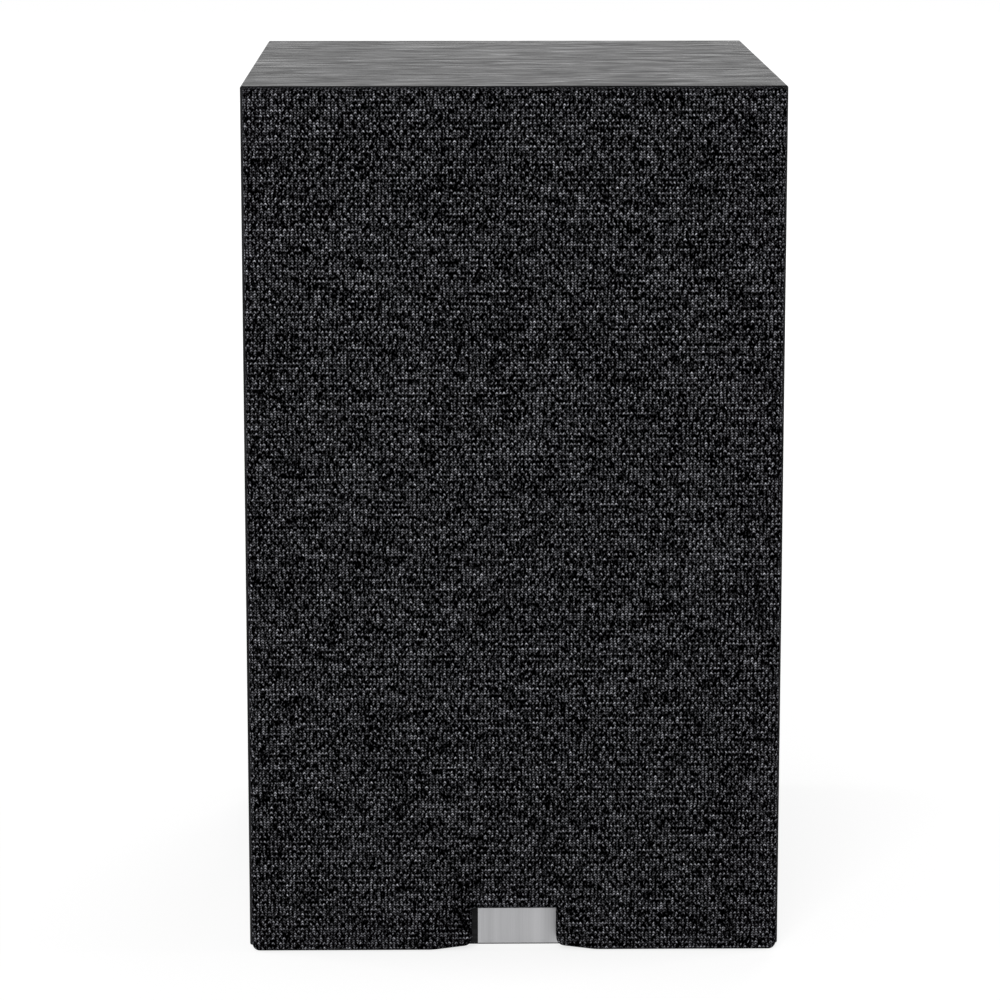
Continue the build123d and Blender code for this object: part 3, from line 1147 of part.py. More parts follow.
for pole, post_x in POST_SIDES.items():
    post_section = half_section(CUP_FLOOR_Y, CUP_HEIGHT, post_x)
    post_axis = Axis((post_x, CUP_FLOOR_Y, CUP_HEIGHT), (0, 1, 0))

    with BuildPart() as binding_post:
        with BuildSketch(post_section):
            ring_section(0, POST_RADIUS, -CUP_FLOOR - POST_INNER_LENGTH, POST_OUTER_LENGTH)
            ring_section(0, POST_SHOULDER_RADIUS, 0, POST_SHOULDER)
        revolve(axis=post_axis)
        with BuildSketch(post_section):
            ring_section(0, BANANA_RADIUS, POST_OUTER_LENGTH - BANANA_DEPTH, POST_OUTER_LENGTH)
        revolve(axis=post_axis, mode=Mode.SUBTRACT)
        with BuildSketch(Plane(origin=(post_x, CUP_FLOOR_Y + CROSS_HOLE_RISE, CUP_HEIGHT))):
            Circle(CROSS_HOLE_RADIUS)
        extrude(amount=POST_RADIUS, both=True, mode=Mode.SUBTRACT)
    finish(binding_post, f"binding_post_{pole}")

    with BuildPart() as clamp_ring:
        with BuildSketch(post_section):
            ring_section(POST_RADIUS + KNOB_CLEARANCE, CLAMP_RING_RADIUS, RING_NEAR, RING_FAR)
        revolve(axis=post_axis)
    finish(clamp_ring, f"clamp_ring_{pole}")

    with BuildPart() as knob:
        with BuildSketch(post_section):
            ring_section(POST_RADIUS + KNOB_CLEARANCE, KNOB_RADIUS, KNOB_NEAR, KNOB_FAR)
        revolve(axis=post_axis)
        knob_end = knob.faces().sort_by(Axis.Y)[-1].edges().filter_by(GeomType.CIRCLE)
        bore_edge, outer_edge = knob_end.sort_by(SortBy.RADIUS)
        fillet(outer_edge, KNOB_ROUND)
        chamfer(bore_edge, KNOB_COUNTERSINK)
        flute_start = CUP_FLOOR_Y + KNOB_NEAR + KNOB_COLLAR
        with BuildSketch(Plane(origin=(post_x, flute_start, CUP_HEIGHT), x_dir=(1, 0, 0), z_dir=(0, 1, 0))):
            with PolarLocations(KNOB_RADIUS + KNOB_FLUTE_OFFSET, KNOB_FLUTES):
                Circle(KNOB_FLUTE_RADIUS)
        extrude(amount=KNOB_FAR, mode=Mode.SUBTRACT)
    finish(knob, f"knob_{pole}")

with BuildPart() as post_nuts:
    with BuildSketch(facing(CUP_INSIDE_Y, CUP_HEIGHT)):
        with Locations(*POST_POINTS):
            RegularPolygon(NUT_RADIUS, 6)
            Circle(POST_RADIUS + GLUE_LINE, mode=Mode.SUBTRACT)
    extrude(amount=NUT_THICKNESS)
finish(post_nuts, "post_nuts")

# Crossover: board on four standoffs, with its parts standing on it
with BuildPart() as crossover_board:
    with BuildSketch(Plane.XY.offset(BOARD_UNDERSIDE)):
        with Locations((0, BOARD_MIDDLE_Y)):
            Rectangle(BOARD_WIDTH, BOARD_LENGTH)
            with GridLocations(STANDOFF_SPACING_X, STANDOFF_SPACING_Y, 2, 2):
                Circle(BOARD_SCREW_RADIUS + SCREW_CLEARANCE, mode=Mode.SUBTRACT)
    extrude(amount=BOARD_THICKNESS)
finish(crossover_board, "crossover_board")

with BuildPart() as crossover_standoffs:
    with BuildSketch(Plane.XY.offset(WALL)):
        with Locations((0, BOARD_MIDDLE_Y)):
            with GridLocations(STANDOFF_SPACING_X, STANDOFF_SPACING_Y, 2, 2):
                RegularPolygon(STANDOFF_RADIUS, 6)
                Circle(BOARD_SCREW_RADIUS + SCREW_CLEARANCE, mode=Mode.SUBTRACT)
    extrude(amount=STANDOFF_HEIGHT)
finish(crossover_standoffs, "crossover_standoffs")

with BuildPart() as crossover_screws:
    with BuildSketch(Plane.XY.offset(BOARD_TOP)):
        with Locations((0, BOARD_MIDDLE_Y)):
            with GridLocations(STANDOFF_SPACING_X, STANDOFF_SPACING_Y, 2, 2):
                Circle(BOARD_SCREW_HEAD_RADIUS)
    extrude(amount=BOARD_SCREW_HEAD_HEIGHT)
    with BuildSketch(Plane.XY.offset(BOARD_TOP)):
        with Locations((0, BOARD_MIDDLE_Y)):
            with GridLocations(STANDOFF_SPACING_X, STANDOFF_SPACING_Y, 2, 2):
                Circle(BOARD_SCREW_RADIUS)
    extrude(amount=-BOARD_SCREW_LENGTH)
finish(crossover_screws, "crossover_screws")

# Places on the board, from its middle: x, y and, for an inductor, radius and height
INDUCTORS = [(-30.0, -13.0, 22.0, 24.0), (33.0, -23.0, 14.0, 18.0)]
CAPACITORS = [(34.0, 5.0), (34.0, 23.0), (-32.0, 23.0)]
RESISTORS = [(-1.0, -2.0), (11.0, -2.0)]

with BuildPart() as crossover_inductors:
    for x, y, radius, height in INDUCTORS:
        coil_plane = Plane(origin=(x, BOARD_MIDDLE_Y + y, BOARD_TOP), x_dir=(1, 0, 0), z_dir=(0, -1, 0))
        coil_axis = Axis((x, BOARD_MIDDLE_Y + y, BOARD_TOP), (0, 0, 1))
        with BuildSketch(coil_plane):
            ring_section(INDUCTOR_BORE_RADIUS, radius, 0, INDUCTOR_FLANGE)
            ring_section(INDUCTOR_BORE_RADIUS, radius, height - INDUCTOR_FLANGE, height)
            winding_radius = radius - INDUCTOR_WINDING_INSET
            ring_section(INDUCTOR_BORE_RADIUS, winding_radius, INDUCTOR_FLANGE, height - INDUCTOR_FLANGE)
        revolve(axis=coil_axis)
finish(crossover_inductors, "crossover_inductors")

with BuildPart() as crossover_capacitors:
    for x, y in CAPACITORS:
        end_plane = Plane(
            origin=(x - CAPACITOR_LENGTH / 2, BOARD_MIDDLE_Y + y, BOARD_TOP + CAPACITOR_RADIUS),
            x_dir=(0, 1, 0),
            z_dir=(1, 0, 0),
        )
        with BuildSketch(end_plane):
            Circle(CAPACITOR_RADIUS)
        extrude(amount=CAPACITOR_LENGTH)
    chamfer(crossover_capacitors.edges().filter_by(GeomType.CIRCLE), CAPACITOR_BEVEL)
finish(crossover_capacitors, "crossover_capacitors")

with BuildPart() as crossover_resistors:
    with BuildSketch(Plane.XY.offset(BOARD_TOP)):
        with Locations(*[(x, BOARD_MIDDLE_Y + y) for x, y in RESISTORS]):
            Rectangle(RESISTOR_WIDTH, RESISTOR_LENGTH)
    extrude(amount=RESISTOR_HEIGHT)
    chamfer(crossover_resistors.faces().group_by(Axis.Z)[-1].edges(), RESISTOR_BEVEL)
finish(crossover_resistors, "crossover_resistors")

# Internal wires: from the posts to the board, and from the board to both drivers
WIRE_BOARD_Z = BOARD_TOP + WIRE_SEAT
POST_INNER_Y = CUP_INSIDE_Y - POST_INNER_LENGTH
TWEETER_TAB_Y = FRONT + TWEETER_BACK + CARRIER_THICKNESS + TAB_LENGTH
WOOFER_BACK_Y = FRONT + BACK_PLATE_BACK
PORT_END_Y = REAR - PORT_LENGTH
TWEETER_WIRE_Y = WOOFER_BACK_Y + WIRE_BACK_SHARE * (PORT_END_Y - WOOFER_BACK_Y)
INPUT_PAD_Y = BOARD_MIDDLE_Y + BOARD_LENGTH / 2 - PAD_INSET
DRIVER_PAD_Y = BOARD_MIDDLE_Y - BOARD_LENGTH / 2 + PAD_INSET
WIRE_RUN_HEIGHT = BOARD_TOP + WIRE_RUN_RISE


def bend_radii(points):
    """Largest bend at each inner point that its two runs leave room for."""
    radii = []
    for before, here, after in zip(points, points[1:], points[2:]):
        run_in = Vector(*here) - Vector(*before)
        run_out = Vector(*after) - Vector(*here)
        half_turn = math.radians(run_in.get_angle(run_out)) / 2
        radii.append(BEND_SHARE * min(run_in.length, run_out.length) / math.tan(half_turn))
    return radii


def wire_routes(side, post_x):
    """Routes of one pole's three wires; side is -1 or +1."""
    tab_x = side * TAB_SPACING / 2
    woofer_tab = STRIP_PLANE.from_local_coords((tab_x, 0, CARRIER_THICKNESS + TAB_LENGTH + WIRE_SEAT))
    lead_out = woofer_tab + STRIP_PLANE.z_dir * LEAD_OUT
    tweeter_pad_x = TWEETER_PAD_X + side * TWEETER_PAD_SPREAD
    input_wire = [
        (post_x, POST_INNER_Y - WIRE_SEAT, CUP_HEIGHT),
        (post_x, INPUT_PAD_Y, CUP_HEIGHT),
        (post_x, INPUT_PAD_Y, WIRE_BOARD_Z),
    ]
    woofer_wire = [
        tuple(woofer_tab),
        tuple(lead_out),
        (side * WOOFER_PAD_X, DRIVER_PAD_Y, WIRE_RUN_HEIGHT),
        (side * WOOFER_PAD_X, DRIVER_PAD_Y, WIRE_BOARD_Z),
    ]
    tweeter_wire = [
        (tab_x, TWEETER_TAB_Y + WIRE_SEAT, TWEETER_HEIGHT),
        (tab_x, TWEETER_TAB_Y + LEAD_OUT, TWEETER_HEIGHT),
        (tweeter_pad_x, TWEETER_WIRE_Y, TWEETER_HEIGHT),
        (tweeter_pad_x, TWEETER_WIRE_Y, WIRE_RUN_HEIGHT),
        (tweeter_pad_x, DRIVER_PAD_Y, WIRE_RUN_HEIGHT),
        (tweeter_pad_x, DRIVER_PAD_Y, WIRE_BOARD_Z),
    ]
    return [input_wire, woofer_wire, tweeter_wire]


for (pole, post_x), side in zip(POST_SIDES.items(), (-1, 1)):
    with BuildPart() as wires:
        for route in wire_routes(side, post_x):
            with BuildLine() as path:
                FilletPolyline(*route, radius=bend_radii(route))
            with BuildSketch(Plane(origin=path.line @ 0, z_dir=path.line % 0)):
                Circle(WIRE_RADIUS)
            sweep()
    finish(wires, f"wires_{pole}")

# Damping pads on the inner walls
SIDE_PAD_LOW = WALL + DAMPING_MARGIN
SIDE_PAD_HIGH = BRACE_MIDDLE - BRACE_THICKNESS / 2 - DAMPING_MARGIN
PAD_REAR_Y = INNER_REAR - DAMPING_MARGIN
SIDE_PAD_LENGTH = PAD_REAR_Y - INNER_FRONT - SIDE_PAD_FRONT_GAP
SIDE_PAD_MIDDLE_Y = PAD_REAR_Y - SIDE_PAD_LENGTH / 2
TOP_PAD_LENGTH = PAD_REAR_Y - INNER_FRONT - TOP_PAD_FRONT_GAP
TOP_PAD_MIDDLE_Y = PAD_REAR_Y - TOP_PAD_LENGTH / 2

for name, side in (("left", -1), ("right", 1)):
    with BuildPart() as side_pad:
        wall_plane = Plane(
            origin=(side * INNER_X, SIDE_PAD_MIDDLE_Y, (SIDE_PAD_LOW + SIDE_PAD_HIGH) / 2),
            x_dir=(0, 1, 0),
            z_dir=(-side, 0, 0),
        )
        with BuildSketch(wall_plane):
            Rectangle(SIDE_PAD_LENGTH, SIDE_PAD_HIGH - SIDE_PAD_LOW)
        extrude(amount=DAMPING_THICKNESS)
        fillet(side_pad.faces().sort_by(Axis.X)[0 if side > 0 else -1].edges(), DAMPING_ROUND)
    finish(side_pad, f"damping_pad_{name}")

with BuildPart() as top_pad:
    with BuildSketch(Plane.XY.offset(INNER_TOP)):
        with Locations((0, TOP_PAD_MIDDLE_Y)):
            Rectangle(TOP_PAD_WIDTH, TOP_PAD_LENGTH)
    extrude(amount=-DAMPING_THICKNESS)
    fillet(top_pad.faces().sort_by(Axis.Z)[0].edges(), DAMPING_ROUND)
finish(top_pad, "damping_pad_top")
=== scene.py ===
"""Bookshelf speaker on a plain white floor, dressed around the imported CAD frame."""
import math

import bmesh
import bpy
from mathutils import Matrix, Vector, noise


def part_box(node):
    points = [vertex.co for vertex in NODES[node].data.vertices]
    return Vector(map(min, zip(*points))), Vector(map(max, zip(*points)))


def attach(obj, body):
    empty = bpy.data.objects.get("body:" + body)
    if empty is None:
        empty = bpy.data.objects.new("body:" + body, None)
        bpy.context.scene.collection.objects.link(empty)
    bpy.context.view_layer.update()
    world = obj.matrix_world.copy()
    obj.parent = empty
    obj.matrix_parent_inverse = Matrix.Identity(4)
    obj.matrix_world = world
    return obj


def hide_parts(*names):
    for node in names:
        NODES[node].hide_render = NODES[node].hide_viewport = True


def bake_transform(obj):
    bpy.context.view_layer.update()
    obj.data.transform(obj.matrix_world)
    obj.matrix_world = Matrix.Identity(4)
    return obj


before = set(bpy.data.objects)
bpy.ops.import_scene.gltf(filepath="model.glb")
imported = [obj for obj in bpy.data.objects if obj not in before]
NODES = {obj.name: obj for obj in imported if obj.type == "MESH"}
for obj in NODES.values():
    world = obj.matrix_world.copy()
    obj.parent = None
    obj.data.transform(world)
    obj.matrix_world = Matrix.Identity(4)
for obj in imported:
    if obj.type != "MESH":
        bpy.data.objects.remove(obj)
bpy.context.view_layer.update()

MM = 0.001

# Camera, fitted to the photo's corners: a long lens, a little above the top
CAMERA_PLACE = Vector((-0.0269, -1.6774, 0.4756))
CAMERA_TARGET = Vector((-0.0058, -0.1386, 0.1871))
CAMERA_LENS = 141.4

# Grille cloth: knit, wrapped round the frame and glued behind it
CLOTH_LOW_CORNER, CLOTH_HIGH_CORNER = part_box("grille_fabric")
CLOTH_FRONT = CLOTH_LOW_CORNER.y
CLOTH_BACK = CLOTH_HIGH_CORNER.y
CLOTH_SIDE = CLOTH_HIGH_CORNER.x
CLOTH_LOW = CLOTH_LOW_CORNER.z
CLOTH_HIGH = CLOTH_HIGH_CORNER.z
CLOTH_THICKNESS = 0.6 * MM
CLOTH_RETURN = 8 * MM
CLOTH_FRONT_ROUND = 1.5 * MM
CLOTH_BACK_ROUND = 1.8 * MM
CLOTH_DISH = 0.35 * MM
CLOTH_DISH_EASE = 10 * MM
CLOTH_GRID = 6 * MM
CORNER_STEPS = 6
CORNER_LEAST = 0.02 * MM
ROUND_STEPS = 5
WALE = 1.49 * MM
COURSE = 1.02 * MM

# Outline of the grille: the notch for the nameplate, and the bottom edge that eases up to it
NOTCH_SIDE = 17.15 * MM
NOTCH_HEIGHT = 17.7 * MM
NOTCH_LOWER_CORNER = 3.5 * MM
NOTCH_UPPER_CORNER = 1.1 * MM
FLARE_WIDTH = 16 * MM
FLARE_RISE = 2 * MM
FLARE_ROUND = 30 * MM
LOWER_CORNER = 3 * MM
UPPER_CORNER = 1.3 * MM

# Relief behind the notch's lower corners, where the nameplate passes
PLATE_CLEARANCE = 0.9 * MM
RELIEF_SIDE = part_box("nameplate")[1].x + PLATE_CLEARANCE
RELIEF_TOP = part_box("nameplate")[1].z + PLATE_CLEARANCE
RELIEF_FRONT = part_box("nameplate")[0].y - PLATE_CLEARANCE

# Knit pattern: how far apart courses lie in the noise of the yarn, and a place between its lattice planes
ROW_SPACING = 7.31
OFF_LATTICE = 0.5

# Where most values of a noise texture lie
NOISE_LOW = 0.3
NOISE_HIGH = 0.7

# Windows of the grille frame, behind the cloth
WINDOW_SIDE = 91.9 * MM
WINDOW_HEIGHTS = ((31.4 * MM, 196.5 * MM), (208.5 * MM, 319.6 * MM))


def linear(code):
    """Linear RGBA of an sRGB hex colour."""
    channels = [int(code[i : i + 2], 16) / 255 for i in (1, 3, 5)]
    flat = [c / 12.92 if c <= 0.04045 else ((c + 0.055) / 1.055) ** 2.4 for c in channels]
    return (*flat, 1.0)


def add_node(tree, kind, inputs=None, **settings):
    """Add one shader node.

    Inputs are values, or nodes and outputs to link from. Settings are the node's own properties.
    """
    made = tree.nodes.new("ShaderNode" + kind)
    for name, value in settings.items():
        setattr(made, name, value)
    for key, value in (inputs or {}).items():
        socket = made.inputs[key]
        if isinstance(key, str):
            socket = next(s for s in made.inputs if s.enabled and s.name == key)
        if isinstance(value, bpy.types.Node):
            value = next(s for s in value.outputs if s.enabled)
        if isinstance(value, bpy.types.NodeSocket):
            tree.links.new(value, socket)
        else:
            socket.default_value = value
    return made


def start_material(name):
    """New material with an empty node tree."""
    material = bpy.data.materials.new(name)
    material.use_nodes = True
    material.node_tree.nodes.clear()
    return material, material.node_tree


def knit_cloth():
    """Heathered polyester knit: circular-knit cloth of black and grey yarns twisted together.

    The eye sees thin slanted strokes, the legs of the loops, light and dark mixed at random on black.
    Every second loop of two courses is lighter, which gives a faint bird's-eye.
    """
    leg_slant = 1.35
    yarn_run = 17 * MM
    row_bend = 9 * MM
    bend_loops = 0.65
    fibre_width, fibre_length = 0.52 * MM, 0.85 * MM
    darkness, contrast = 2.17, 1.75
    leg_narrowing, gap_widening = 1.3, 2.6
    material, tree = start_material("heathered_polyester_knit")
    place = add_node(tree, "TexCoord")
    at = add_node(tree, "SeparateXYZ", {0: place.outputs["Object"]})

    # The cloth laid flat: behind the front edge, depth counts as width on the sides and as height on the ends
    behind = add_node(tree, "Math", {0: at.outputs["Y"], 1: CLOTH_FRONT}, operation="SUBTRACT")
    wrapped = add_node(
        tree, "VectorMath", {0: place.outputs["Normal"], "Scale": behind}, operation="SCALE"
    )
    flat = add_node(tree, "VectorMath", {0: place.outputs["Object"], 1: wrapped}, operation="ADD")
    grid = add_node(tree, "VectorMath", {0: flat, 1: (1 / WALE, 0.0, 1 / COURSE)}, operation="MULTIPLY")
    drift = add_node(
        tree, "TexNoise", {"Vector": place.outputs["Object"], "Scale": 1 / row_bend, "Detail": 2.0}
    )
    wandering = add_node(
        tree,
        "VectorMath",
        {0: drift.outputs["Color"], 1: (bend_loops, 0.0, bend_loops), 2: grid},
        operation="MULTIPLY_ADD",
    )
    loops = add_node(tree, "SeparateXYZ", {0: wandering})
    wales = loops.outputs["X"]

    # Legs lean to the middle of their wale, so a course is a row of small peaks
    into_wale = add_node(tree, "Math", {0: wales, 1: 0.5}, operation="PINGPONG")
    courses = add_node(
        tree, "Math", {0: into_wale, 1: -leg_slant, 2: loops.outputs["Z"]}, operation="MULTIPLY_ADD"
    )
    wale_number = add_node(tree, "Math", {0: wales}, operation="FLOOR")
    half_wales = add_node(tree, "Math", {0: wales, 1: 2.0}, operation="MULTIPLY")
    leg_number = add_node(tree, "Math", {0: half_wales}, operation="FLOOR")
    course_number = add_node(tree, "Math", {0: courses}, operation="FLOOR")

    # What makes a leg light: its own yarn, a run along its course, the bird's-eye and fine fibres
    leg_place = add_node(tree, "CombineXYZ", {0: leg_number, 1: course_number})
    leg_yarn = add_node(tree, "TexWhiteNoise", {"Vector": leg_place}, noise_dimensions="2D")
    along = add_node(tree, "Math", {0: wales, 1: WALE / yarn_run}, operation="MULTIPLY")
    own_row = add_node(tree, "Math", {0: course_number, 1: ROW_SPACING}, operation="MULTIPLY")
    run_place = add_node(tree, "CombineXYZ", {0: along, 1: own_row})
    run = add_node(
        tree, "TexNoise", {"Vector": run_place, "Scale": 1.0, "Detail": 0.0}, noise_dimensions="2D"
    )
    half_course = add_node(tree, "Math", {0: course_number, 1: 0.5}, operation="MULTIPLY")
    pair_number = add_node(tree, "Math", {0: half_course}, operation="FLOOR")
    diagonal = add_node(tree, "Math", {0: wale_number, 1: pair_number}, operation="ADD")
    birdseye = add_node(tree, "Math", {0: diagonal, 1: 2.0}, operation="FLOORED_MODULO")
    second_course = add_node(tree, "Math", {0: course_number, 1: 2.0}, operation="FLOORED_MODULO")
    fibre_place = add_node(
        tree,
        "VectorMath",
        {0: flat, 1: (1 / fibre_width, 0.0, 1 / fibre_length), 2: (0.0, OFF_LATTICE, 0.0)},
        operation="MULTIPLY_ADD",
    )
    fibres = add_node(tree, "TexNoise", {"Vector": fibre_place, "Scale": 1.0, "Detail": 0.0})
    shares = ((leg_yarn, 1.45), (run, 0.85), (birdseye, 0.4), (second_course, 0.3), (fibres, 2.3))
    tone = -darkness
    for part, share in shares:
        tone = add_node(tree, "Math", {0: part, 1: share, 2: tone}, operation="MULTIPLY_ADD")
    tone = add_node(tree, "Math", {0: tone, 1: 0.0}, operation="MAXIMUM")
    lightness = add_node(tree, "Math", {0: tone, 1: contrast}, operation="POWER")

    # Rounded legs: painted shade between the wales and between the courses, and a painted highlight on each
    # leg's crown; the same shape makes the bump
    wale_turn = add_node(tree, "Math", {0: into_wale, 1: math.pi}, operation="MULTIPLY")
    rib = add_node(tree, "Math", {0: wale_turn}, operation="SINE")
    ridge = add_node(tree, "Math", {0: rib, 1: leg_narrowing}, operation="POWER")
    into_course = add_node(tree, "Math", {0: courses, 1: 1.0}, operation="FLOORED_MODULO")
    course_turn = add_node(tree, "Math", {0: into_course, 1: math.pi}, operation="MULTIPLY")
    arch = add_node(tree, "Math", {0: course_turn}, operation="SINE")
    crown = add_node(tree, "Math", {0: arch, 1: gap_widening}, operation="POWER")
    loop_relief_and_painted_shade = add_node(tree, "Math", {0: ridge, 1: crown}, operation="MULTIPLY")
    # The yarn's tone times the loops' painted shade and painted highlight
    shade = add_node(tree, "Math", {0: lightness, 1: loop_relief_and_painted_shade}, operation="MULTIPLY")
    colour = add_node(
        tree, "VectorMath", {0: linear("#737378")[:3], "Scale": shade}, operation="SCALE"
    )
    bump = add_node(tree, "Bump", {"Height": loop_relief_and_painted_shade, "Distance": 0.25 * MM, "Strength": 0.5})
    shader = add_node(
        tree,
        "BsdfPrincipled",
        {"Base Color": colour, "Roughness": 0.95, "Specular IOR Level": 0.0, "Normal": bump},
    )
    add_node(tree, "OutputMaterial", {"Surface": shader})
    return material


def ash_vinyl(name, grain_axis, figure_length):
    """Black-ash vinyl: PVC foil printed near black and embossed with ash pores, wrapped round the board.

    The eye sees fine broken streaks along the grain, black in charcoal, and a satin reflection at a low
    angle. The emboss scatters most of what smooth PVC reflects head on, so the specular level is low.
    """
    pore_width, pore_length = 0.7 * MM, 18 * MM
    figure_width = 6 * MM
    material, tree = start_material(name)
    place = add_node(tree, "TexCoord")
    streaks = []
    for width, length in ((pore_width, pore_length), (figure_width, figure_length)):
        scale = [1 / width] * 3
        scale["XYZ".index(grain_axis)] = 1 / length
        stretched = add_node(
            tree, "VectorMath", {0: place.outputs["Object"], 1: scale}, operation="MULTIPLY"
        )
        streaks.append(
            add_node(
                tree,
                "TexNoise",
                {"Vector": stretched, "Scale": 1.0, "Detail": 3.0, "Roughness": 0.6, "Distortion": 0.8},
            )
        )
    pores, figure = streaks
    grain = add_node(tree, "Mix", {"Factor": 0.55, "A": pores, "B": figure})
    print_tone = add_node(tree, "MapRange", {"Value": grain, "From Min": 0.36, "From Max": 0.64})
    tint = add_node(
        tree, "Mix", {"Factor": print_tone, "A": linear("#020202"), "B": linear("#28282a")}, data_type="RGBA"
    )
    polish = add_node(
        tree,
        "MapRange",
        {"Value": grain, "From Min": NOISE_LOW, "From Max": NOISE_HIGH, "To Min": 0.65, "To Max": 0.12},
    )
    bump = add_node(tree, "Bump", {"Height": grain, "Distance": 0.3 * MM, "Strength": 0.9})
    shader = add_node(
        tree,
        "BsdfPrincipled",
        {"Base Color": tint, "Roughness": polish, "Specular IOR Level": 0.15, "Normal": bump},
    )
    add_node(tree, "OutputMaterial", {"Surface": shader})
    return material


def brushed_aluminium():
    """Brushed aluminium: rolled sheet ground upright, so fine scratches and soft bands break up the sheen.

    Real scratches are too fine to show, so they are drawn half a millimetre wide.
    """
    scratch_width, scratch_length = 0.5 * MM, 30 * MM
    band_width = 6 * MM
    material, tree = start_material("brushed_aluminium")
    place = add_node(tree, "TexCoord")
    scratch_place = add_node(
        tree,
        "VectorMath",
        {0: place.outputs["Object"], 1: (1 / scratch_width, 1 / scratch_width, 1 / scratch_length)},
        operation="MULTIPLY",
    )
    scratches = add_node(tree, "TexNoise", {"Vector": scratch_place, "Scale": 1.0, "Detail": 4.0})
    band_place = add_node(
        tree, "VectorMath", {0: place.outputs["Object"], 1: (1 / band_width, 0.0, 0.0)}, operation="MULTIPLY"
    )
    bands = add_node(tree, "TexNoise", {"Vector": band_place, "Scale": 1.0, "Detail": 1.0})
    sheen = add_node(tree, "Mix", {"Factor": 0.6, "A": scratches, "B": bands})
    tint = add_node(
        tree, "Mix", {"Factor": sheen, "A": linear("#88888a"), "B": linear("#d0d0d2")}, data_type="RGBA"
    )
    polish = add_node(
        tree,
        "MapRange",
        {"Value": scratches, "From Min": NOISE_LOW, "From Max": NOISE_HIGH, "To Min": 0.32, "To Max": 0.5},
    )
    bump = add_node(tree, "Bump", {"Height": scratches, "Distance": 0.03 * MM, "Strength": 0.4})
    shader = add_node(
        tree, "BsdfPrincipled", {"Base Color": tint, "Metallic": 1.0, "Roughness": polish, "Normal": bump}
    )
    add_node(tree, "OutputMaterial", {"Surface": shader})
    return material


def grained(name, dark, light, grain, depth, roughness, metallic=0.0):
    """Moulded, cast, sprayed or plated surface: two close tones, and an even grain of one size and depth.

    A grain finer than 0.4 mm would not show, so none is drawn finer. Broad patches are many grains wide.
    """
    patch = 14 * grain
    material, tree = start_material(name)
    place = add_node(tree, "TexCoord")
    fine = add_node(tree, "TexNoise", {"Vector": place.outputs["Object"], "Scale": 1 / grain, "Detail": 3.0})
    broad = add_node(tree, "TexNoise", {"Vector": place.outputs["Object"], "Scale": 1 / patch})
    speckle = add_node(tree, "Mix", {"Factor": 0.5, "A": fine, "B": broad})
    tint = add_node(
        tree, "Mix", {"Factor": speckle, "A": linear(dark), "B": linear(light)}, data_type="RGBA"
    )
    polish = add_node(
        tree,
        "MapRange",
        {
            "Value": speckle,
            "From Min": NOISE_LOW,
            "From Max": NOISE_HIGH,
            "To Min": roughness[0],
            "To Max": roughness[1],
        },
    )
    bump = add_node(tree, "Bump", {"Height": fine, "Distance": depth, "Strength": 0.5})
    shader = add_node(
        tree,
        "BsdfPrincipled",
        {"Base Color": tint, "Metallic": metallic, "Roughness": polish, "Normal": bump},
    )
    add_node(tree, "OutputMaterial", {"Surface": shader})
    return material


def wound_copper(name, pitch, axis):
    """Enamelled copper wire: turns side by side along one axis, each a thin line of warm light painted into
    the colour as a highlight, with painted shade between the turns.

    A wave texture repeats every pi / 10 over its scale.
    """
    material, tree = start_material(name)
    place = add_node(tree, "TexCoord")
    turns = add_node(
        tree,
        "TexWave",
        {"Vector": place.outputs["Object"], "Scale": math.pi / 10 / pitch, "Distortion": 0.3, "Detail": 1.0},
        bands_direction=axis,
    )
    # Painted highlight along each turn and painted shade between the turns
    tint = add_node(
        tree, "Mix", {"Factor": turns, "A": linear("#5c2710"), "B": linear("#c4682f")}, data_type="RGBA"
    )
    bump = add_node(tree, "Bump", {"Height": turns, "Distance": 0.3 * pitch, "Strength": 0.7})
    shader = add_node(
        tree, "BsdfPrincipled", {"Base Color": tint, "Metallic": 1.0, "Roughness": 0.3, "Normal": bump}
    )
    add_node(tree, "OutputMaterial", {"Surface": shader})
    return material


def woven(name, dark, light, thread, depth, roughness):
    """Plain-woven cloth set in resin: threads over and under, seen from the front as a fine check, with a
    painted highlight on each thread's crown and painted shade where it dips.
    """
    material, tree = start_material(name)
    place = add_node(tree, "TexCoord")
    threads = add_node(
        tree,
        "VectorMath",
        {0: place.outputs["Object"], 1: (1 / thread, 0.0, 1 / thread)},
        operation="MULTIPLY",
    )
    numbers = add_node(tree, "VectorMath", {0: threads}, operation="FLOOR")
    number = add_node(tree, "VectorMath", {0: numbers, 1: (1.0, 1.0, 1.0)}, operation="DOT_PRODUCT")
    on_top = add_node(tree, "Math", {0: number, 1: 2.0}, operation="FLOORED_MODULO")
    shares = add_node(tree, "VectorMath", {0: threads}, operation="FRACTION")
    turns = add_node(tree, "VectorMath", {0: shares, "Scale": math.pi}, operation="SCALE")
    crowns = add_node(tree, "VectorMath", {0: turns}, operation="SINE")
    crown = add_node(tree, "SeparateXYZ", {0: crowns})
    height = add_node(
        tree, "Mix", {"Factor": on_top, "A": crown.outputs["X"], "B": crown.outputs["Z"]}
    )
    # Painted highlight and painted shade: lighter where a thread's crown stands up, darker where it dips
    tint = add_node(
        tree, "Mix", {"Factor": height, "A": linear(dark), "B": linear(light)}, data_type="RGBA"
    )
    bump = add_node(tree, "Bump", {"Height": height, "Distance": depth, "Strength": 0.6})
    shader = add_node(
        tree, "BsdfPrincipled", {"Base Color": tint, "Roughness": roughness, "Normal": bump}
    )
    add_node(tree, "OutputMaterial", {"Surface": shader})
    return material


# What each finish is, and what that gives the eye
knit = knit_cloth()
# The vinyl's figure is as short on the top as photographed, and longer on the sides
vinyl_across = ash_vinyl("black_ash_vinyl_grain_across", "X", 26 * MM)
vinyl_upright = ash_vinyl("black_ash_vinyl_grain_upright", "Z", 55 * MM)
aluminium = brushed_aluminium()
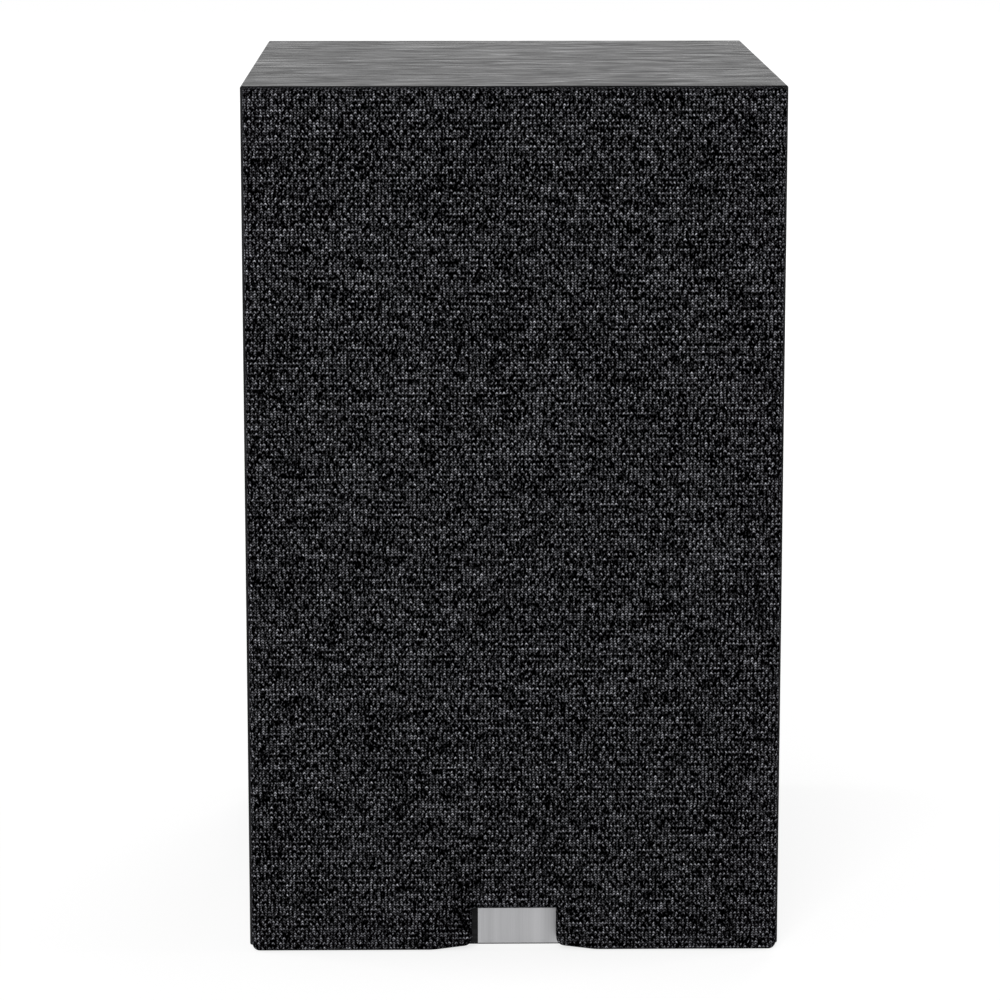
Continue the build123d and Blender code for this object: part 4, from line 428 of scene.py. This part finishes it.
# Sprayed fibreboard: matt, with the faint orange peel of the paint
painted_board = grained("sprayed_fibreboard", "#0d0d0e", "#1d1d1e", 0.9 * MM, 0.08 * MM, (0.6, 0.75))
# Raw fibreboard: pale brown, speckled with fibres
raw_board = grained("raw_fibreboard", "#7a5b3a", "#bb9a70", 0.8 * MM, 0.1 * MM, (0.85, 0.95))
# Injection-moulded ABS from a spark-eroded tool: even, dull, faintly glossy
moulded_abs = grained("moulded_black_abs", "#0c0c0d", "#1b1b1c", 0.5 * MM, 0.06 * MM, (0.48, 0.6))
# Butyl rubber: soft black with a faint bloom
rubber = grained("butyl_rubber", "#090909", "#1a1a1a", 0.7 * MM, 0.04 * MM, (0.55, 0.7))
# Powder coat baked on steel: a fine pebbled satin skin
powder_coat = grained("powder_coated_steel", "#0e0e0f", "#1d1d1e", 0.6 * MM, 0.08 * MM, (0.42, 0.55))
# Black oxide on steel: the metal's sheen under a dark skin
black_oxide = grained(
    "black_oxide_steel", "#161617", "#323234", 0.4 * MM, 0.02 * MM, (0.35, 0.5), metallic=1.0
)
# Zinc plate: bright and slightly blue, with a cloudy passivation
zinc = grained("zinc_plated_steel", "#9c9ea0", "#d0d2d4", 1.2 * MM, 0.02 * MM, (0.28, 0.42), metallic=1.0)
# Sintered ferrite: a dull charcoal ceramic
ferrite = grained("sintered_ferrite", "#1e1e20", "#3b3b3d", 0.4 * MM, 0.05 * MM, (0.7, 0.85))
# Brass with a gold flash: warm and bright
brass = grained("gold_flashed_brass", "#bb8c3c", "#e8c474", 0.8 * MM, 0.01 * MM, (0.2, 0.32), metallic=1.0)
# Moulded polycarbonate: glossy red
polycarbonate = grained("red_polycarbonate", "#820a0d", "#b5181c", 1.5 * MM, 0.01 * MM, (0.18, 0.28))
# Wound card tube, dyed black: paper fibres, quite dull
card = grained("dyed_card", "#141415", "#29292a", 0.7 * MM, 0.06 * MM, (0.8, 0.92))
# Phenolic paper board: amber brown with pale fibres, pressed smooth
phenolic = grained("phenolic_paper", "#63451c", "#926e36", 0.6 * MM, 0.02 * MM, (0.4, 0.5))
# Natural nylon: milky
nylon = grained("natural_nylon", "#cfcdc2", "#eeece2", 1.0 * MM, 0.02 * MM, (0.4, 0.5))
# Polyester film wrap: smooth ochre
film = grained("polyester_film", "#ac781b", "#d9a73f", 2.0 * MM, 0.01 * MM, (0.2, 0.3))
# Cast cement: chalky, with pinholes
cement = grained("cast_cement", "#b0ab9d", "#e2ddd1", 0.5 * MM, 0.12 * MM, (0.85, 0.95))
# Extruded PVC sheath: smooth and softly glossy
red_sheath = grained("red_pvc", "#811012", "#b22022", 1.0 * MM, 0.02 * MM, (0.35, 0.45))
black_sheath = grained("black_pvc", "#0e0e0e", "#202020", 1.0 * MM, 0.02 * MM, (0.35, 0.45))
# Carded polyester wadding: a pale tangle of fibres
wadding = grained("polyester_wadding", "#bcbab3", "#efede6", 1.1 * MM, 0.8 * MM, (0.95, 1.0))
# Resin-soaked paper: dark amber, smooth
former_paper = grained("resin_paper", "#6c4d24", "#9c7743", 0.8 * MM, 0.02 * MM, (0.4, 0.5))
inductor_copper = wound_copper("enamelled_copper_inductor", 0.9 * MM, "Z")
coil_copper = wound_copper("enamelled_copper_coil", 0.35 * MM, "Y")
# Glass-fibre cloth in dark resin: a square weave with a dull gloss
cone_cloth = woven("woven_glass_fibre", "#161617", "#3f3c36", 1.6 * MM, 0.15 * MM, 0.42)
# Cotton dipped in phenolic resin: dark straw, quite dull
dipped_cotton = woven("dipped_cotton", "#523e20", "#947847", 0.9 * MM, 0.12 * MM, 0.85)
# Coated silk: black, slightly shiny, its threads drawn coarser than they are so that they show
coated_silk = woven("coated_silk", "#0b0b0c", "#202022", 0.5 * MM, 0.03 * MM, 0.45)

FINISHES = {
    vinyl_across: ["top_panel", "bottom_panel"],
    vinyl_upright: ["left_side_panel", "right_side_panel"],
    painted_board: ["front_baffle", "rear_panel"],
    raw_board: ["window_brace"],
    aluminium: ["nameplate"],
    moulded_abs: [
        "grille_frame",
        "grille_pegs",
        "woofer_trim_ring",
        "tweeter_faceplate",
        "port_flare",
        "terminal_cup",
        "knob_negative",
    ],
    rubber: ["grille_sockets", "woofer_gasket", "tweeter_gasket", "terminal_gasket"],
    powder_coat: ["woofer_basket", "tweeter_guard"],
    black_oxide: ["woofer_screws", "tweeter_screws", "terminal_screws", "crossover_screws"],
    cone_cloth: ["woofer_cone", "woofer_dust_cap"],
    former_paper: ["woofer_coil_former"],
    coil_copper: ["woofer_voice_coil", "tweeter_voice_coil"],
    inductor_copper: ["crossover_inductors"],
    coated_silk: ["tweeter_dome"],
    zinc: ["woofer_top_plate", "woofer_back_plate", "tweeter_top_plate", "tweeter_back_plate"],
    ferrite: ["woofer_magnet", "tweeter_magnet"],
    brass: [
        "woofer_terminals",
        "tweeter_terminals",
        "post_nuts",
        "binding_post_positive",
        "binding_post_negative",
        "clamp_ring_positive",
        "clamp_ring_negative",
    ],
    polycarbonate: ["knob_positive"],
    card: ["port_tube"],
    phenolic: ["crossover_board"],
    nylon: ["crossover_standoffs"],
    film: ["crossover_capacitors"],
    cement: ["crossover_resistors"],
    red_sheath: ["wires_positive"],
    black_sheath: ["wires_negative"],
}
for material, names in FINISHES.items():
    for name in names:
        NODES[name].data.materials.clear()
        NODES[name].data.materials.append(material)


def add_piece(name, maker, material):
    """New smooth-shaded object from a bmesh."""
    mesh = bpy.data.meshes.new(name)
    maker.to_mesh(mesh)
    maker.free()
    mesh.materials.append(material)
    mesh.shade_smooth()
    piece = bpy.data.objects.new(name, mesh)
    bpy.context.scene.collection.objects.link(piece)
    return piece


def drawn_in(corners, inset):
    """Points of an outline seen from the front, its edges drawn in by the inset and its corners rounded.

    Corners are x, z and radius, anticlockwise. Every inset gives as many points, so rings can be joined.
    """
    points = []
    for before, here, after in zip(corners[-1:] + corners, corners, corners[1:] + corners[:1]):
        corner = Vector(here[:2])
        way_in = (corner - Vector(before[:2])).normalized()
        way_out = (Vector(after[:2]) - corner).normalized()
        normal_in = Vector((-way_in.y, way_in.x))
        normal_out = Vector((-way_out.y, way_out.x))
        moved = corner + (normal_in + normal_out) * (inset / (1 + normal_in.dot(normal_out)))
        bend = 1 if way_in.cross(way_out) > 0 else -1
        radius = max(here[2] - bend * inset, CORNER_LEAST)
        half_turn = way_in.angle(way_out) / 2
        centre = moved - way_in * radius * math.tan(half_turn) + normal_in * bend * radius
        for step in range(CORNER_STEPS + 1):
            normal = normal_in.slerp(normal_out, step / CORNER_STEPS)
            points.append(centre - normal * bend * radius)
    return points


def grille_outline():
    """Corners of the cloth's outline as x, z and radius, anticlockwise from the lower left."""
    left = [
        (-CLOTH_SIDE, CLOTH_LOW, LOWER_CORNER),
        (-NOTCH_SIDE - FLARE_WIDTH, CLOTH_LOW, FLARE_ROUND),
        (-NOTCH_SIDE, CLOTH_LOW + FLARE_RISE, NOTCH_LOWER_CORNER),
        (-NOTCH_SIDE, CLOTH_LOW + NOTCH_HEIGHT, NOTCH_UPPER_CORNER),
    ]
    right = [(-x, z, radius) for x, z, radius in reversed(left)]
    top = [(CLOTH_SIDE, CLOTH_HIGH, UPPER_CORNER), (-CLOTH_SIDE, CLOTH_HIGH, UPPER_CORNER)]
    return left + right + top


def cloth_profile():
    """Rings of the wrapped cloth from the return behind to the front: inset from the outline, and y."""
    turns = [math.pi / 2 * step / ROUND_STEPS for step in range(ROUND_STEPS + 1)]
    back = [
        (CLOTH_BACK_ROUND * (1 - math.sin(turn)), CLOTH_BACK - CLOTH_BACK_ROUND * (1 - math.cos(turn)))
        for turn in turns
    ]
    front = [
        (CLOTH_FRONT_ROUND * (1 - math.cos(turn)), CLOTH_FRONT + CLOTH_FRONT_ROUND * (1 - math.sin(turn)))
        for turn in turns
    ]
    return [(CLOTH_RETURN, CLOTH_BACK), *back, *front]


def window_dish(x, z):
    """How far the stretched cloth lies behind its front plane over the frame's windows."""
    for low, high in WINDOW_HEIGHTS:
        inside = min(WINDOW_SIDE - abs(x), z - low, high - z)
        if inside > 0:
            return CLOTH_DISH * (1 - math.exp(-inside / CLOTH_DISH_EASE))
    return 0.0


def even_cuts(axis, low, high):
    """Directions and places of the planes that cut the front into a grid along one axis."""
    count = round((high - low) / CLOTH_GRID)
    return [(axis, low + (high - low) * i / count) for i in range(1, count)]


def grille_cloth():
    """Knit cloth stretched over the frame: front, rounded edges, sides and the return behind."""
    maker = bmesh.new()
    rings = []
    for inset, depth in cloth_profile():
        ring = []
        for x, z in drawn_in(grille_outline(), inset):
            over_plate = abs(x) < RELIEF_SIDE and z < RELIEF_TOP
            ring.append(maker.verts.new((x, min(depth, RELIEF_FRONT) if over_plate else depth, z)))
        rings.append(ring)
    for behind, ahead in zip(rings, rings[1:]):
        for i, corner in enumerate(behind):
            maker.faces.new((behind[i - 1], corner, ahead[i], ahead[i - 1]))
    maker.faces.new(rings[-1])

    front_limit = CLOTH_FRONT + 1e-7
    cuts = even_cuts(Vector((1, 0, 0)), -CLOTH_SIDE, CLOTH_SIDE)
    cuts += even_cuts(Vector((0, 0, 1)), CLOTH_LOW, CLOTH_HIGH)
    for direction, place in cuts:
        faces = [f for f in maker.faces if all(v.co.y < front_limit for v in f.verts)]
        edges = {e for f in faces for e in f.edges}
        verts = {v for f in faces for v in f.verts}
        bmesh.ops.bisect_plane(
            maker, geom=[*faces, *edges, *verts], plane_co=direction * place, plane_no=direction
        )
    for vert in maker.verts:
        if vert.co.y < front_limit:
            vert.co.y += window_dish(vert.co.x, vert.co.z)
    bmesh.ops.recalc_face_normals(maker, faces=maker.faces)
    cloth = add_piece("grille_cloth", maker, knit)
    thickness = cloth.modifiers.new("cloth thickness", "SOLIDIFY")
    thickness.thickness = CLOTH_THICKNESS
    thickness.offset = -1
    return cloth


cloth = grille_cloth()
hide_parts("grille_fabric")
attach(cloth, "grille")


def middle_of(node):
    """The x and z of a turned node's axis."""
    low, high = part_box(node)
    return ((low.x + high.x) / 2, (low.z + high.z) / 2)


def turned_sheet(name, face, thickness, axis, segments, material):
    """Thin sheet turned about an axis along Y, from the radius and y of its front face."""
    profile = face + [(radius, y + thickness) for radius, y in reversed(face)]
    turns = [2 * math.pi * i / segments for i in range(segments)]
    maker = bmesh.new()
    rings = []
    for radius, y in profile:
        ring = [(axis[0] + radius * math.cos(turn), y, axis[1] + radius * math.sin(turn)) for turn in turns]
        rings.append([maker.verts.new(place) for place in ring])
    for near, far in zip(rings, rings[1:] + rings[:1]):
        for i, corner in enumerate(near):
            maker.faces.new((near[i - 1], corner, far[i], far[i - 1]))
    bmesh.ops.recalc_face_normals(maker, faces=maker.faces)
    return add_piece(name, maker, material)


def half_roll(outer, inner, lip, crest, steps=14):
    """Radius and y along a half roll that stands forward of its lip."""
    middle, reach = (outer + inner) / 2, (outer - inner) / 2
    turns = [math.pi * step / steps for step in range(steps + 1)]
    return [(middle + reach * math.cos(turn), lip + (crest - lip) * math.sin(turn)) for turn in turns]


def bend_between(piece):
    """Bake a turned sheet's placement into its mesh. The sheet spans from the cabinet at its outer radius to
    a moving body at its inner radius, but nothing bends it.
    """
    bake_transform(piece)


WOOFER_AXIS = middle_of("woofer_cone")
TWEETER_AXIS = middle_of("tweeter_dome")

# Rubber half roll between the trim ring and the cone, with a glued lip on either side
SURROUND_THICKNESS = 0.9 * MM
SURROUND_SEAT = 4.5 * MM
SURROUND_ROLL = 12 * MM
SURROUND_LIP = 3.8 * MM
SURROUND_SEGMENTS = 128
surround_low, surround_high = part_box("woofer_surround")
surround_outer = surround_high.x - WOOFER_AXIS[0]
surround_lip = surround_high.y - SURROUND_THICKNESS
roll_outer = surround_outer - SURROUND_SEAT
roll_inner = roll_outer - SURROUND_ROLL
surround_face = [
    (surround_outer, surround_lip),
    *half_roll(roll_outer, roll_inner, surround_lip, surround_low.y),
    (roll_inner - SURROUND_LIP, surround_lip),
]
surround = turned_sheet(
    "woofer_rubber_roll", surround_face, SURROUND_THICKNESS, WOOFER_AXIS, SURROUND_SEGMENTS, rubber
)
bend_between(surround)
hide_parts("woofer_surround")

# Corrugated cotton spider, from the coil former out to its seat on the basket
SPIDER_THICKNESS = 0.6 * MM
SPIDER_WAVE = 1.5 * MM
SPIDER_FOLDS = 6
SPIDER_STEPS = 48
SPIDER_SEGMENTS = 96
SPIDER_INNER = 16.7 * MM
SPIDER_SEAT = 5 * MM
spider_low, spider_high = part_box("woofer_spider")
spider_outer = spider_high.x - WOOFER_AXIS[0]
spider_edge = spider_outer - SPIDER_SEAT
spider_plane = (spider_low.y + spider_high.y - SPIDER_THICKNESS) / 2
spider_face = []
for step in range(SPIDER_STEPS + 1):
    share = step / SPIDER_STEPS
    fade = min(1.0, SPIDER_FOLDS * share, SPIDER_FOLDS * (1 - share))
    wave = SPIDER_WAVE * fade * math.sin(share * SPIDER_FOLDS * math.pi)
    spider_face.append((SPIDER_INNER + (spider_edge - SPIDER_INNER) * share, spider_plane - wave))
spider_face.append((spider_outer, spider_plane))
spider = turned_sheet(
    "woofer_corrugated_spider", spider_face, SPIDER_THICKNESS, WOOFER_AXIS, SPIDER_SEGMENTS, dipped_cotton
)
bend_between(spider)
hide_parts("woofer_spider")

# Small silk half roll round the tweeter's dome
SILK_THICKNESS = 0.6 * MM
SILK_LIP = 1.9 * MM
SILK_INNER = 13.05 * MM
SILK_SEGMENTS = 96
silk_low, silk_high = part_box("tweeter_surround")
silk_outer = silk_high.x - TWEETER_AXIS[0]
silk_lip = silk_high.y - SILK_THICKNESS
silk_edge = silk_outer - SILK_LIP
silk_face = [(silk_outer, silk_lip), *half_roll(silk_edge, SILK_INNER, silk_lip, silk_low.y)]
silk_roll = turned_sheet(
    "tweeter_silk_roll", silk_face, SILK_THICKNESS, TWEETER_AXIS, SILK_SEGMENTS, coated_silk
)
bend_between(silk_roll)
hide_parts("tweeter_surround")

# Wadding mats on the inner walls
MAT_GRID = 6 * MM
MAT_EDGE = 16 * MM
MAT_LEAST = 0.5 * MM
MAT_LUMP = 26 * MM
MAT_HOLLOW = 4 * MM


def wadding_mat(node, wall_axis, wall_side):
    """Soft mat in place of its CAD solid: flat on the wall, thin at the edges and lumpy on its open face."""
    low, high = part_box(node)
    first, second = (i for i in range(3) if i != wall_axis)
    rows = round((high[first] - low[first]) / MAT_GRID)
    columns = round((high[second] - low[second]) / MAT_GRID)
    wall = high[wall_axis] if wall_side > 0 else low[wall_axis]
    depth = high[wall_axis] - low[wall_axis]
    maker = bmesh.new()
    back, face = [], []
    for i in range(rows + 1):
        back.append([])
        face.append([])
        for j in range(columns + 1):
            place = Vector()
            place[first] = low[first] + (high[first] - low[first]) * i / rows
            place[second] = low[second] + (high[second] - low[second]) * j / columns
            place[wall_axis] = wall
            back[-1].append(maker.verts.new(place))
            inside = min(min(place[a] - low[a], high[a] - place[a]) for a in (first, second))
            ease = min(inside / MAT_EDGE, 1.0)
            lump = noise.noise(place / MAT_LUMP) / 2 + 0.5
            height = depth * math.sqrt(1 - (1 - ease) ** 2) - MAT_HOLLOW * lump * ease
            place[wall_axis] -= wall_side * max(height, MAT_LEAST)
            face[-1].append(maker.verts.new(place))
    for grid in (back, face):
        for i in range(rows):
            for j in range(columns):
                maker.faces.new((grid[i][j], grid[i + 1][j], grid[i + 1][j + 1], grid[i][j + 1]))
    rim = [(i, 0) for i in range(rows)] + [(rows, j) for j in range(columns)]
    rim += [(i, columns) for i in range(rows, 0, -1)] + [(0, j) for j in range(columns, 0, -1)]
    for (i, j), (k, m) in zip(rim, rim[1:] + rim[:1]):
        maker.faces.new((back[i][j], back[k][m], face[k][m], face[i][j]))
    bmesh.ops.recalc_face_normals(maker, faces=maker.faces)
    mat = add_piece(node.replace("damping_pad", "wadding_mat"), maker, wadding)
    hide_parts(node)
    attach(mat, "cabinet")


wadding_mat("damping_pad_left", 0, -1)
wadding_mat("damping_pad_right", 0, 1)
wadding_mat("damping_pad_top", 2, 1)


def rays_that_see(tree):
    """One for rays from the camera or that a surface reflects or lets through, otherwise nought."""
    rays = add_node(tree, "LightPath").outputs
    seen = add_node(tree, "Math", {0: rays["Is Camera Ray"], 1: rays["Is Glossy Ray"]}, operation="MAXIMUM")
    return add_node(tree, "Math", {0: seen, 1: rays["Is Transmission Ray"]}, operation="MAXIMUM")


def white_world():
    """World that is white to the camera and in reflections, and dimmer as a light."""
    ambient = 0.25
    world = bpy.data.worlds.new("white_studio")
    world.use_nodes = True
    bpy.context.scene.world = world
    tree = world.node_tree
    tree.nodes.clear()
    strength = add_node(tree, "MapRange", {"Value": rays_that_see(tree), "To Min": ambient, "To Max": 1.0})
    backdrop = add_node(tree, "Background", {"Color": linear("#ffffff"), "Strength": strength})
    add_node(tree, "OutputWorld", {"Surface": backdrop})


def white_floor():
    """Matt white laminate: white to the camera and in reflections, with a faint shadow round the speaker.

    Near the speaker part of the white is lit floor, which takes the shadow. Further off it is all glow.
    """
    near, far = 0.5, 2.5
    near_share = 0.7
    glow_strength = 1.12
    half_width = 6.0
    material, tree = start_material("white_laminate")
    place = add_node(tree, "TexCoord")
    away = add_node(tree, "VectorMath", {0: place.outputs["Object"]}, operation="LENGTH")
    glow_share = add_node(
        tree,
        "MapRange",
        {"Value": away, "From Min": near, "From Max": far, "To Min": near_share, "To Max": 1.0},
    )
    share = add_node(tree, "Math", {0: rays_that_see(tree), 1: glow_share}, operation="MULTIPLY")
    matt = add_node(tree, "BsdfDiffuse", {"Color": linear("#f2f2f2")})
    glow = add_node(tree, "Emission", {"Color": linear("#ffffff"), "Strength": glow_strength})
    both = add_node(tree, "MixShader", {0: share, 1: matt, 2: glow})
    add_node(tree, "OutputMaterial", {"Surface": both})
    maker = bmesh.new()
    bmesh.ops.create_grid(maker, x_segments=1, y_segments=1, size=half_width)
    add_piece("floor", maker, material)


SPEAKER_MIDDLE = Vector((0, 0, 0.18))


def softbox(name, place, power):
    """Square soft lamp, a metre wide, aimed at the middle of the speaker and out of sight in reflections."""
    lamp = bpy.data.lights.new(name, "AREA")
    lamp.size = 1.0
    lamp.energy = power
    holder = bpy.data.objects.new(name, lamp)
    holder.visible_glossy = False
    holder.location = place
    holder.rotation_euler = (SPEAKER_MIDDLE - holder.location).to_track_quat("-Z", "Y").to_euler()
    bpy.context.scene.collection.objects.link(holder)


def photo_camera():
    """The photo's view."""
    view = bpy.data.cameras.new("photo_camera")
    view.lens = CAMERA_LENS
    view.sensor_width = 36.0
    camera = bpy.data.objects.new("photo_camera", view)
    camera.location = CAMERA_PLACE
    camera.rotation_euler = (CAMERA_TARGET - CAMERA_PLACE).to_track_quat("-Z", "Y").to_euler()
    bpy.context.scene.collection.objects.link(camera)
    bpy.context.scene.camera = camera


bpy.context.scene.view_settings.view_transform = "Standard"
white_world()
white_floor()
softbox("front_softbox", (-0.35, -2.2, 1.3), 40.0)
softbox("left_softbox", (-1.9, 0.2, 0.55), 26.0)
softbox("right_softbox", (1.9, 0.2, 0.55), 24.0)
softbox("rear_softbox", (0.6, 2.1, 0.6), 30.0)
photo_camera()
